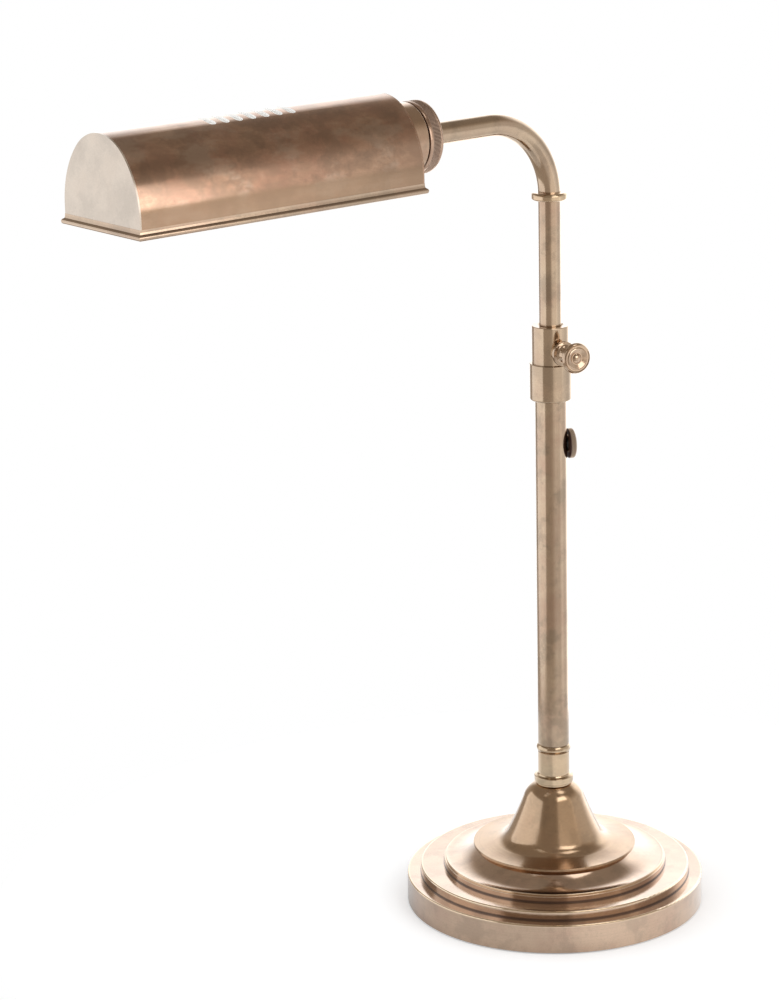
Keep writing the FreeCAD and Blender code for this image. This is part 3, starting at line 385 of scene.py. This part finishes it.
def shade_finish(name, colour, gloss, lines, inner="arch", tarnish=0.75, red=0.82):
    """Dark lacquered sheet outside and white enamel inside: inner tells which way outside lies."""
    paint = Paint(name)
    tone, rough, normal = aged_metal(paint, colour, gloss, lines, tarnish, red)
    x, y, z = paint.split(paint.here)
    faces = paint.split(paint.node("ShaderNodeTexCoord", {}, {}, "Normal"))
    if inner == "arch":
        up = z - ARCH_CENTRE
        outward = (faces[1] * y + faces[2] * up) / ((y * y + up * up) ** 0.5 + 0.0001)
    elif inner == "near":
        outward = -faces[0]
    else:
        outward = faces[0]
    inside = (-outward).step(0.35, 0.45)
    if inner == "arch":
        # The slot walls take the glowing enamel too: painted light in the vent slots
        glowing_slot_walls = outward.step(0.6, 0.5) * z.step(SLOT_BOTTOM, SLOT_CLEAR)
        inside = inside.larger(glowing_slot_walls)
    waves = paint.noise(1.0, 1.0, 0.4, paint.join(x * 4.0, y * 90.0, z * 90.0))
    worn = paint.noise(1.0, 5.0, 0.62, paint.join(x * 30.0, y * 60.0, z * 60.0 + 7.0))
    tone = paint.mix(worn.step(0.46, 0.60) * 0.55 * tarnish, tone, scaled(colour, 0.52))
    tone = paint.mix(worn.step(0.50, 0.36) * 0.45 * tarnish, tone, rgb(*PALE_SHEET))
    # Painted shade: the sheet turns brown along its bottom strip, standing in for a dark
    # reflection there
    if inner == "arch":
        tone = paint.mix(z.step(PAINTED_STRIP_TOP, PAINTED_STRIP_FULL) * 0.75, tone, rgb(*PAINTED_SHADE_STRIP))
    broad = paint.bump(waves, 0.5, 0.0003 if inner == "arch" else 0.00002, normal)
    metal = paint.shader(Base_Color=tone, Metallic=1.0, Roughness=rough, Normal=broad,
                         Coat_Weight=0.6, Coat_Roughness=0.12, Coat_IOR=LACQUER_IOR)
    brushed = paint.noise(260.0, 3.0, 0.6)
    white = paint.mix(brushed.step(0.3, 0.75) * 0.35, rgb(*ENAMEL), rgb(*ENAMEL_SHADE))
    # The enamel glows faintly though the lamp is unlit: painted light
    enamel = paint.shader(Base_Color=white, Roughness=0.32 + brushed * 0.1,
                          Emission_Color=rgb(*PAINTED_ENAMEL_GLOW), Emission_Strength=0.2,
                          Normal=paint.bump(brushed, 0.3, 0.00004))
    return paint.finish(paint.node("ShaderNodeMixShader", {}, {0: inside, 1: metal, 2: enamel}))


def moulded(name, colour, gloss, metallic=0.0, grain=260.0, depth=0.00004, worn=0.75):
    """A plain finish with a fine grain: felt, casting, steel, moulding or glaze."""
    paint = Paint(name)
    clouds = paint.noise(grain, 4.0, 0.6)
    broad = paint.noise(40.0, 2.0, 0.5)
    mottle = (clouds * 0.7 + broad * 0.3).step(0.35, 0.65)
    tone = paint.mix(mottle, rgb(*colour), scaled(colour, worn))
    return paint.surface(Base_Color=tone, Metallic=metallic, Roughness=gloss + clouds * 0.08,
                         Normal=paint.bump(clouds, 0.4, depth))


def clear_glass(name):
    """Clear glass with faint smears."""
    paint = Paint(name)
    smears = paint.noise(30.0, 3.0, 0.6)
    return paint.surface(Base_Color=rgb(*GLASS), Roughness=0.02 + smears * 0.03,
                         Transmission_Weight=1.0, IOR=1.45)


def dress(material, *names):
    """Give CAD nodes a material in place of their own."""
    for name in names:
        slots = nodes[name].data.materials
        slots.clear()
        slots.append(material)


dress(foot_finish("spun_foot_brass", FOOT, gloss=0.09), "foot_shell")
dress(brass("spun_bell_brass", SPUN, 0.14, rings_about_post, tarnish=0.4), "bell")
dress(brass("drawn_tube_brass", TUBE, 0.13, lines_along_post, tarnish=0.8),
      "post_tube", "stem_tube", "stem_foot_flange", "stem_keeper")
dress(brass("turned_sleeve_brass", TUBE, 0.09, rings_about_post), "post_ferrule", "clamp_sleeve")
dress(brass("ring_brass", PLAIN_RING, 0.14, rings_about_arm), "lock_ring")
dress(brass("arm_brass", TUBE, 0.10, lines_along_arm), "arm_tube", "arm_hub", "lampholder_shell")
dress(brass("neck_brass", NECK, 0.12, rings_about_arm, tarnish=0.8), "shade_neck")
dress(brass("bright_brass", BRIGHT, 0.10, rings_about_post),
      "bell_collar", "post_coupling", "stem_collar", "clamp_boss")
dress(brass("knob_brass", KNOB, 0.10, rings_about_post), "clamp_knob", "clamp_shoe")
dress(brass("switch_brass", SWITCH, 0.2, rings_about_post), "switch_knob", "switch_nut")
dress(shade_finish("shade_sheet", SHEET_METAL, 0.10, lines_along_arm), "shade_trough")
# The near end plate takes a paler, less tarnished copy of the sheet: a painted sheen
dress(shade_finish("near_plate", PAINTED_PALE_NEAR_PLATE, 0.24, lines_along_arm, "near", 0.25, 0.97),
      "shade_cap_near")
dress(shade_finish("far_plate", SHEET_METAL, 0.2, lines_along_arm, "far"), "shade_cap_far")
dress(brass("rim_brass", RIM, 0.10, lines_along_arm),
      "rim_front", "rim_back", "rim_near", "rim_far")
dress(moulded("green_felt", FELT, 0.92, grain=900.0, depth=0.0003), "felt_pad")
dress(moulded("cast_iron", IRON, 0.62, metallic=0.5, depth=0.0002), "foot_weight")
dress(moulded("plated_steel", STEEL, 0.28, metallic=1.0, grain=700.0, depth=0.00001),
      "tie_pipe", "lock_washer", "pipe_nut", "clamp_screw", "switch_shaft", "bulb_cap")
dress(moulded("black_moulding", MOULDING, 0.42), "cord_bush", "switch_body", "guide_bush")
dress(moulded("glazed_insulator", GLAZE, 0.16, depth=0.00001, worn=0.9), "lampholder_core")
dress(clear_glass("clear_bulb_glass"), "bulb_glass")


# New pieces: surfaces worked out on grids, with profiles in millimetres

MM = 0.001
SHARP_ANGLE = math.radians(50)

RING_GROOVES = 172
RING_RADIUS = 20.3
RING_WIDTH = 9.6
RING_BAND = (1.7, 7.3)
RING_CUT = 0.22
RING_CORNER = 1.4
RING_BORE = 6.88
RING_RECESS = 12.48
RING_MOUTH = 9.28

SWITCH_SIDE = math.radians(-27.0)
SWITCH_HEIGHT = 0.2824
SWITCH_START = 0.0099
SWITCH_RADIUS = 8.7
SWITCH_FACE = 6.6
SWITCH_CROSSINGS = 32
SWITCH_CUT = 0.45
SWITCH_BACK = 0.0002

LEAD_SHORT = 0.004
LEAD_LONG = 0.072
LEAD_APART = 0.0045
LEAD_RADIUS = 0.0004
COIL_TURNS = 75
COIL_RADIUS = 0.0004
COIL_RISE = 0.0035
COIL_WIRE_RADIUS = 0.00009


def make_piece(name, points, faces, body, material):
    """A smooth mesh placed by its points and turned right side out by its volume's sign."""
    points = np.asarray(points, dtype=np.float64)
    mesh = bpy.data.meshes.new(name)
    whole = [np.asarray(group, dtype=np.int64) for group in faces if len(group)]
    volume = 0.0
    for group in whole:
        for k in range(1, group.shape[1] - 1):
            a, b, c = points[group[:, 0]], points[group[:, k]], points[group[:, k + 1]]
            volume += float(np.einsum("ij,ij->i", a, np.cross(b, c)).sum())
    if volume < 0:
        whole = [group[:, ::-1] for group in whole]
    mesh.from_pydata(points.tolist(), [], [face for group in whole for face in group.tolist()])
    mesh.shade_smooth()
    mesh.set_sharp_from_angle(angle=SHARP_ANGLE)
    mesh.materials.append(material)
    piece = bpy.data.objects.new(name, mesh)
    scene.collection.objects.link(piece)
    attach(piece, body)
    return piece


def round_the_axis(along, reach, place, axis, turns, cut):
    """Points and faces of a closed turned shape.

    A profile point goes along(u) from place on the axis and reach(u) out from it, and turns
    through v from 0 to a full circle:
    place + axis * along(u) + (side * cos v + up * sin v) * (reach(u) - cut(u, v)).
    The profile closes on itself; where it touches the axis, its ring of points is one point.
    Also given: how far out each point is, with the cut and without it.
    """
    axis = np.asarray(axis, dtype=np.float64)
    side = np.cross(axis, (0.0, 0.0, 1.0))
    side /= np.linalg.norm(side)
    up = np.cross(axis, side)
    turn = np.arange(turns) * (2.0 * np.pi / turns)
    plain = np.repeat(reach[:, None], turns, axis=1)
    out = plain - cut(turn[None, :])
    rings = (np.asarray(place) + along[:, None, None] * axis
             + out[..., None] * (np.cos(turn)[:, None] * side + np.sin(turn)[:, None] * up))
    poles = np.flatnonzero(reach < 1e-9)
    number = np.arange(len(along) * turns).reshape(len(along), turns)
    number[poles] = number[poles, :1]
    after = np.roll(number, -1, axis=1)
    last = len(along) - 1
    pairs = [(i, i + 1) for i in range(last)] + ([] if len(poles) else [(last, 0)])
    quads, threes = [], []
    for i, j in pairs:
        if i in poles:
            threes.append(np.stack([number[i], number[j], after[j]], axis=1))
        elif j in poles:
            threes.append(np.stack([number[i], number[j], after[i]], axis=1))
        else:
            quads.append(np.stack([number[i], number[j], after[j], after[i]], axis=1))
    used, packed = np.unique(number, return_inverse=True)
    packed = packed.reshape(-1)
    quads = packed[np.concatenate(quads)] if quads else []
    threes = packed[np.concatenate(threes)] if threes else []
    return (rings.reshape(-1, 3)[used], (quads, threes),
            out.reshape(-1)[used], plain.reshape(-1)[used])


def note_depth(piece, depth):
    """Keep each point's depth under the plain surface, from 0 to 1, as the attribute groove."""
    layer = piece.data.attributes.new("groove", "FLOAT", "POINT")
    layer.data.foreach_set("value", np.asarray(depth, dtype=np.float32))


def bend(start, end, middle, count):
    """Profile points on a quarter ellipse from start to end about middle, both ends left out."""
    angle = np.linspace(0.0, np.pi / 2, count + 2)[1:-1]
    start, end, middle = np.asarray(start), np.asarray(end), np.asarray(middle)
    points = (middle + np.outer(np.cos(angle), start - middle)
              + np.outer(np.sin(angle), end - middle))
    return points.tolist()


def make_lock_ring(material):
    """The knurled ring: straight grooves in its middle band, plain at both edges."""
    low, high = RING_BAND
    shoulder = RING_RADIUS - RING_CORNER
    corner = bend((0.0, shoulder), (1.0, RING_RADIUS), (1.0, shoulder), 5)
    band = [(place, RING_RADIUS) for place in (low - 0.1, low, low + 0.2, 3.2, 4.5, 5.8,
                                               high - 0.2, high, high + 0.1)]
    profile = np.array([(0.0, RING_BORE), (0.0, 12.0), (0.0, shoulder)] + corner
                       + [(1.0, RING_RADIUS), (1.3, RING_RADIUS)] + band
                       + [(RING_WIDTH - 0.4, RING_RADIUS), (RING_WIDTH - 0.12, RING_RADIUS - 0.12),
                          (RING_WIDTH, RING_RADIUS - 0.4), (RING_WIDTH, 14.0),
                          (RING_WIDTH, RING_MOUTH), (6.6, RING_MOUTH), (6.6, RING_RECESS),
                          (1.6, RING_RECESS), (1.6, RING_BORE)])
    share = np.interp(profile[:, 0], (low, low + 0.2, high - 0.2, high), (0.0, 1.0, 1.0, 0.0))
    share[profile[:, 1] < RING_RADIUS - 0.01] = 0.0

    def cut(turn):
        return share[:, None] * RING_CUT * MM * (0.5 + 0.5 * np.cos(RING_GROOVES * turn))

    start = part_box("lock_ring")[1].x
    points, faces, out, _ = round_the_axis(profile[:, 0] * MM, profile[:, 1] * MM,
                                           (start, 0.0, ARM_HEIGHT), (-1.0, 0.0, 0.0),
                                           RING_GROOVES * 6, cut)
    ring = make_piece("fine_lock_ring", points, faces, "lock", material)
    under = (RING_RADIUS * MM - out) / (RING_CUT * MM)
    note_depth(ring, np.where(out > (RING_RADIUS - RING_CUT * 1.02) * MM, under, 0.0))
    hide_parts("lock_ring")


def make_switch_knob(material):
    """The switch knob: a thin disc with a domed face and a rim knurled in diamonds."""
    rim = bend((2.5, SWITCH_RADIUS), (3.7, SWITCH_FACE), (2.5, SWITCH_FACE), 10)
    profile = np.array([(0.9, 0.0), (0.9, 4.9), (0.7, 5.1), (0.0, 5.4), (0.0, 8.2), (0.1, 8.5),
                        (0.3, SWITCH_RADIUS)]
                       + [(place, SWITCH_RADIUS) for place in np.linspace(0.5, 2.5, 14)] + rim
                       + [(3.7, SWITCH_FACE), (3.8, 6.2), (4.15, 4.4), (4.4, 2.6), (4.55, 1.2),
                          (4.6, 0.0)])
    steps = np.hypot(*np.diff(profile, axis=0).T)
    length = np.concatenate([[0.0], np.cumsum(steps)])
    knurled = (profile[:, 0] > 0.45) & (profile[:, 1] > SWITCH_FACE + 0.1)
    pitch = 2 * np.pi * SWITCH_RADIUS / SWITCH_CROSSINGS

    def cut(turn):
        across = np.pi * length[:, None] / pitch
        one = np.cos(SWITCH_CROSSINGS / 2 * turn + across) ** 2
        two = np.cos(SWITCH_CROSSINGS / 2 * turn - across) ** 2
        return knurled[:, None] * SWITCH_CUT * MM * np.maximum(one, two) ** 3

    axis = (math.cos(SWITCH_SIDE), math.sin(SWITCH_SIDE), 0.0)
    place = (SWITCH_START * axis[0], SWITCH_START * axis[1], SWITCH_HEIGHT)
    points, faces, out, plain = round_the_axis(profile[:, 0] * MM, profile[:, 1] * MM, place, axis,
                                               SWITCH_CROSSINGS * 8, cut)
    knob = make_piece("diamond_switch_knob", points, faces, "switch", material)
    note_depth(knob, (plain - out) / (SWITCH_CUT * MM))
    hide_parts("switch_knob")


def tube_along(path, radius, sides=10):
    """Points and faces of a wire, its ends closed.

    A circle is carried along a path P(u), square to it:
    P(u) + radius * (side(u) * cos v + up(u) * sin v), v from 0 to a full circle.
    """
    path = np.asarray(path, dtype=np.float64)
    ahead = np.gradient(path, axis=0)
    ahead /= np.linalg.norm(ahead, axis=1)[:, None]
    guide = np.array((0.13, 0.21, 0.97))
    side = np.cross(ahead, guide)
    side /= np.linalg.norm(side, axis=1)[:, None]
    up = np.cross(ahead, side)
    turn = np.arange(sides) * (2.0 * np.pi / sides)
    rings = path[:, None, :] + radius * (np.cos(turn)[None, :, None] * side[:, None, :]
                                         + np.sin(turn)[None, :, None] * up[:, None, :])
    count = len(path)
    number = np.arange(count * sides).reshape(count, sides)
    after = np.roll(number, -1, axis=1)
    quads = np.stack([number[:-1], number[1:], after[1:], after[:-1]], axis=-1).reshape(-1, 4)
    first, last = count * sides, count * sides + 1
    ends = np.concatenate([np.stack([np.full(sides, first), number[0], after[0]], axis=1),
                           np.stack([np.full(sides, last), after[-1], number[-1]], axis=1)])
    return np.vstack([rings.reshape(-1, 3), path[:1], path[-1:]]), (quads, ends)


def make_filament(wire, coil):
    """Two lead wires from the cap and a coiled filament that rises and falls between them.

    The coil's middle line goes straight between the wires' ends but for a rise of
    COIL_RISE * sin(pi u), and the wire turns about it:
    middle(u) + COIL_RADIUS * (0, cos(2 pi n u), sin(2 pi n u)).
    """
    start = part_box("bulb_glass")[1].x - 0.024
    for number, offset in enumerate((-LEAD_APART, LEAD_APART)):
        reach = np.linspace(0.0, 1.0, 24)
        path = np.stack([start - (LEAD_SHORT + LEAD_LONG * number) * reach,
                         np.full(24, offset) * (0.6 + 0.4 * reach),
                         np.full(24, ARM_HEIGHT)], axis=1)
        points, faces = tube_along(path, LEAD_RADIUS)
        make_piece("filament_lead_%d" % (number + 1), points, faces, "arm", wire)
    span = np.linspace(0.0, 1.0, 900)
    turns = span * 2 * np.pi * COIL_TURNS
    middle = np.stack([start - LEAD_SHORT - LEAD_LONG * span,
                       -LEAD_APART + 2 * LEAD_APART * span,
                       ARM_HEIGHT + COIL_RISE * np.sin(np.pi * span)], axis=1)
    path = middle + COIL_RADIUS * np.stack([0 * turns, np.cos(turns), np.sin(turns)], axis=1)
    points, faces = tube_along(path, COIL_WIRE_RADIUS, 5)
    make_piece("filament_coil", points, faces, "arm", coil)


def knurl_finish(name, colour, gloss, lines, worn, back_place=None):
    """Knurled brass, dull brown down in the grooves as dirt and painted shade, and pale on their
    crests as rubbed wear and a painted glint.

    With a back_place, what lies behind it along the switch's axis is painted a dull dark maroon as
    painted shade on the knob's back face.
    """
    paint = Paint(name)
    tone, rough, normal = aged_metal(paint, colour, gloss, lines)
    depth = paint.node("ShaderNodeAttribute", {"attribute_name": "groove"}, {}, "Fac")
    groove = depth.step(0.35, 0.8)
    crest_wear_and_glint = depth.step(0.0001, 0.02) * depth.step(0.3, 0.05)
    # Painted shade with dirt in the grooves; rubbed wear with a painted glint on the crests
    tone = paint.mix(groove * 0.9, tone, rgb(*GROOVE_DIRT_AND_SHADE))
    tone = paint.mix(crest_wear_and_glint * worn, tone, rgb(*CREST_WEAR_AND_GLINT))
    rough = rough + groove * 0.2 + crest_wear_and_glint * 0.1
    metallic = 1.0
    if back_place is not None:
        x, y, z = paint.split(paint.here)
        along = x * math.cos(SWITCH_SIDE) + y * math.sin(SWITCH_SIDE) - SWITCH_START
        # Painted shade: the knob's back face turns dull dark maroon and not metallic
        back = along.step(back_place + 0.0003, back_place)
        tone = paint.mix(back, tone, rgb(*PAINTED_SHADE_MAROON))
        rough = rough + back * 0.35
        metallic = 1 - back
    return paint.surface(Base_Color=tone, Metallic=metallic, Roughness=rough, Normal=normal)


# worn is the share of rubbed wear and painted glint on the crests
make_lock_ring(knurl_finish("knurled_ring_brass", RING, 0.16, rings_about_arm, worn=0.2))
make_switch_knob(knurl_finish("diamond_knurled_brass", SWITCH_KNOB, 0.2, rings_about_post,
                              worn=0.8, back_place=SWITCH_BACK))
make_filament(moulded("filament_lead_wire", LEAD_WIRE, 0.3, 1.0, 900.0, 0.000005),
              moulded("filament_coil_wire", COIL_WIRE, 0.45, 1.0, 900.0, 0.000005))


# Camera, from a fit to the photograph's outlines

CAMERA_PLACE = Vector((-1.2104, -1.3420, 0.7572))
CAMERA_YAW = 0.68128
CAMERA_PITCH = 0.27350
CAMERA_ROLL = -0.02176
FOCAL_PIXELS = 3200.0
IMAGE_HEIGHT = 1000.0
SENSOR_HEIGHT = 24.0
CAMERA_SIDE = math.degrees(math.atan2(CAMERA_PLACE.y, CAMERA_PLACE.x))


def make_camera():
    """The camera, at the photograph's viewing angle and with its lens."""
    data = bpy.data.cameras.new("camera")
    data.sensor_fit = "VERTICAL"
    data.sensor_height = SENSOR_HEIGHT
    data.lens = FOCAL_PIXELS / IMAGE_HEIGHT * SENSOR_HEIGHT
    data.clip_start = 0.05
    data.clip_end = 50.0
    camera = bpy.data.objects.new("camera", data)
    scene.collection.objects.link(camera)
    forward = Vector((math.sin(CAMERA_YAW) * math.cos(CAMERA_PITCH),
                      math.cos(CAMERA_YAW) * math.cos(CAMERA_PITCH),
                      -math.sin(CAMERA_PITCH)))
    level = Vector((math.cos(CAMERA_YAW), -math.sin(CAMERA_YAW), 0.0))
    upward = level.cross(forward)
    right = math.cos(CAMERA_ROLL) * level + math.sin(CAMERA_ROLL) * upward
    top = -math.sin(CAMERA_ROLL) * level + math.cos(CAMERA_ROLL) * upward
    turn = Matrix((right, top, -forward)).transposed()
    camera.matrix_world = Matrix.Translation(CAMERA_PLACE) @ turn.to_4x4()
    scene.camera = camera


make_camera()


# Stage: a round of white paper, four soft panels and a white surround

PLAIN_LEVEL = 0.7
FLOOR_LIFT = 0.32
FLOOR_REACH = 0.34
FLOOR_DROP = 0.0002
FLOOR_SIDES = 96


def make_floor(reach):
    """A flat disc just under the felt: points (r cos a, r sin a, -FLOOR_DROP) on three circles."""
    count = FLOOR_SIDES
    angles = np.linspace(0.0, 2.0 * np.pi, count + 1)[:-1]
    rings = np.array([reach * 0.35, reach * 0.7, reach])
    grid = np.stack([np.outer(rings, np.cos(angles)), np.outer(rings, np.sin(angles)),
                     np.zeros((3, count))], axis=-1).reshape(-1, 3)
    points = np.vstack([grid, np.zeros((1, 3))]) - (0.0, 0.0, FLOOR_DROP)
    step = np.arange(count)
    after = (step + 1) % count
    quads = [(a, b, c, d) for k in range(2) for a, b, c, d in
             zip(k * count + step, (k + 1) * count + step,
                 (k + 1) * count + after, k * count + after)]
    middle = [(3 * count, a, b) for a, b in zip(step, after)]
    mesh = bpy.data.meshes.new("floor")
    mesh.from_pydata([tuple(point) for point in points], [],
                     [tuple(int(i) for i in face) for face in quads + middle])
    floor = bpy.data.objects.new("floor", mesh)
    scene.collection.objects.link(floor)
    paint = Paint("white_paper")
    grain = paint.noise(900.0, 2.0, 0.5)
    tone = paint.mix(grain, rgb(*PAPER), rgb(*PAPER_GRAIN))
    plain = paint.shader(Base_Color=tone, Roughness=0.9)
    lifted = paint.shader(Base_Color=tone, Roughness=0.9, Emission_Color=rgb(*WHITE),
                          Emission_Strength=FLOOR_LIFT)
    x, y, z = paint.split(paint.here)
    angle = math.radians(CAMERA_SIDE)
    towards = x * math.cos(angle) + y * math.sin(angle)
    right = y * math.cos(angle) - x * math.sin(angle)
    # The floor glows evenly for the camera; in reflections it glows only behind the lamp and to
    # its right, a painted pool of light
    glow_seen_and_painted_lit = paint.seen().larger(paint.mirrored() * (
        (-towards).step(0.02, 0.12).larger((right + towards * 0.4).step(0.03, 0.09))))
    mesh.materials.append(paint.finish(
        paint.node("ShaderNodeMixShader", {}, {0: glow_seen_and_painted_lit, 1: plain, 2: lifted})))


def make_panel(name, side, distance, height, width, tall, level, aim, tint=WHITE):
    """A soft panel as bright as level, side degrees to the right of the camera's side."""
    data = bpy.data.lights.new(name, "AREA")
    data.shape = "RECTANGLE"
    data.size = width
    data.size_y = tall
    data.color = tint
    data.energy = math.pi * width * tall * level
    panel = bpy.data.objects.new(name, data)
    scene.collection.objects.link(panel)
    angle = math.radians(CAMERA_SIDE + side)
    place = Vector((math.cos(angle) * distance, math.sin(angle) * distance, height))
    panel.location = place
    panel.rotation_mode = "QUATERNION"
    panel.rotation_quaternion = (Vector((0.0, 0.0, aim)) - place).to_track_quat("-Z", "Y")


def make_surround():
    """White for the camera; off metal, white behind the lamp and a dim room in front of it."""
    world = bpy.data.worlds.new("surround")
    scene.world = world
    sheet = Sheet(world, "ShaderNodeOutputWorld")
    way = sheet.node("ShaderNodeTexCoord", {}, {}, "Generated")
    turned = sheet.node("ShaderNodeMapping", {"vector_type": "POINT"},
                        {"Vector": way, "Rotation": (0.0, 0.0, -math.radians(CAMERA_SIDE))})
    x, y, z = sheet.split(turned)
    side = y.turn_from(x) * math.degrees(1.0)
    rise = z.maths("ARCSINE", z) * math.degrees(1.0)
    left = -side
    behind_right = side.step(112.0, 142.0) * rise.step(44.0, 26.0)
    behind_left = left.step(146.0, 170.0) * rise.step(42.0, 22.0)
    right_wall = side.step(58.0, 78.0) * rise.step(44.0, 16.0)
    left_wall = left.step(95.0, 125.0) * rise.step(45.0, 8.0)
    table = rise.step(8.0, -12.0) * side.band(50.0, 14.0, 42.0)
    level = (0.33 + behind_right * 1.2 + behind_left * 1.2 + right_wall * 0.42
             + left_wall * rise.step(-8.0, 4.0) * 0.2 + table * 0.3
             + rise.step(2.0, -12.0) * 0.2)
    tint = sheet.mix(level.step(0.3, 1.0), rgb(*DIM_WARM), rgb(*WHITE))
    room = sheet.node("ShaderNodeBackground", {}, {"Color": tint, "Strength": level})
    plain = sheet.node("ShaderNodeBackground", {},
                       {"Color": rgb(*WHITE), "Strength": PLAIN_LEVEL})
    white = sheet.node("ShaderNodeBackground", {}, {"Color": rgb(*WHITE), "Strength": 1.0})
    lit = sheet.node("ShaderNodeMixShader", {}, {0: sheet.mirrored(), 1: plain, 2: room})
    sheet.finish(sheet.node("ShaderNodeMixShader", {}, {0: sheet.seen(), 1: lit, 2: white}))


make_floor(FLOOR_REACH)
make_panel("left_panel", side=-83.0, distance=1.2, height=0.25, width=1.94, tall=1.1, level=0.94,
           aim=0.25, tint=(0.93, 1.0, 1.08))
make_panel("right_panel", side=36.0, distance=0.60, height=0.65, width=0.44, tall=0.38, level=2.3,
           aim=0.65)
make_panel("right_fill", side=42.0, distance=0.85, height=0.52, width=0.95, tall=0.9, level=0.36,
           aim=0.52, tint=(1.0, 0.95, 0.88))
make_panel("upper_panel", side=75.0, distance=1.0, height=3.0, width=0.9, tall=0.9, level=1.8,
           aim=0.0)
make_surround()

scene.view_settings.view_transform = "Standard"
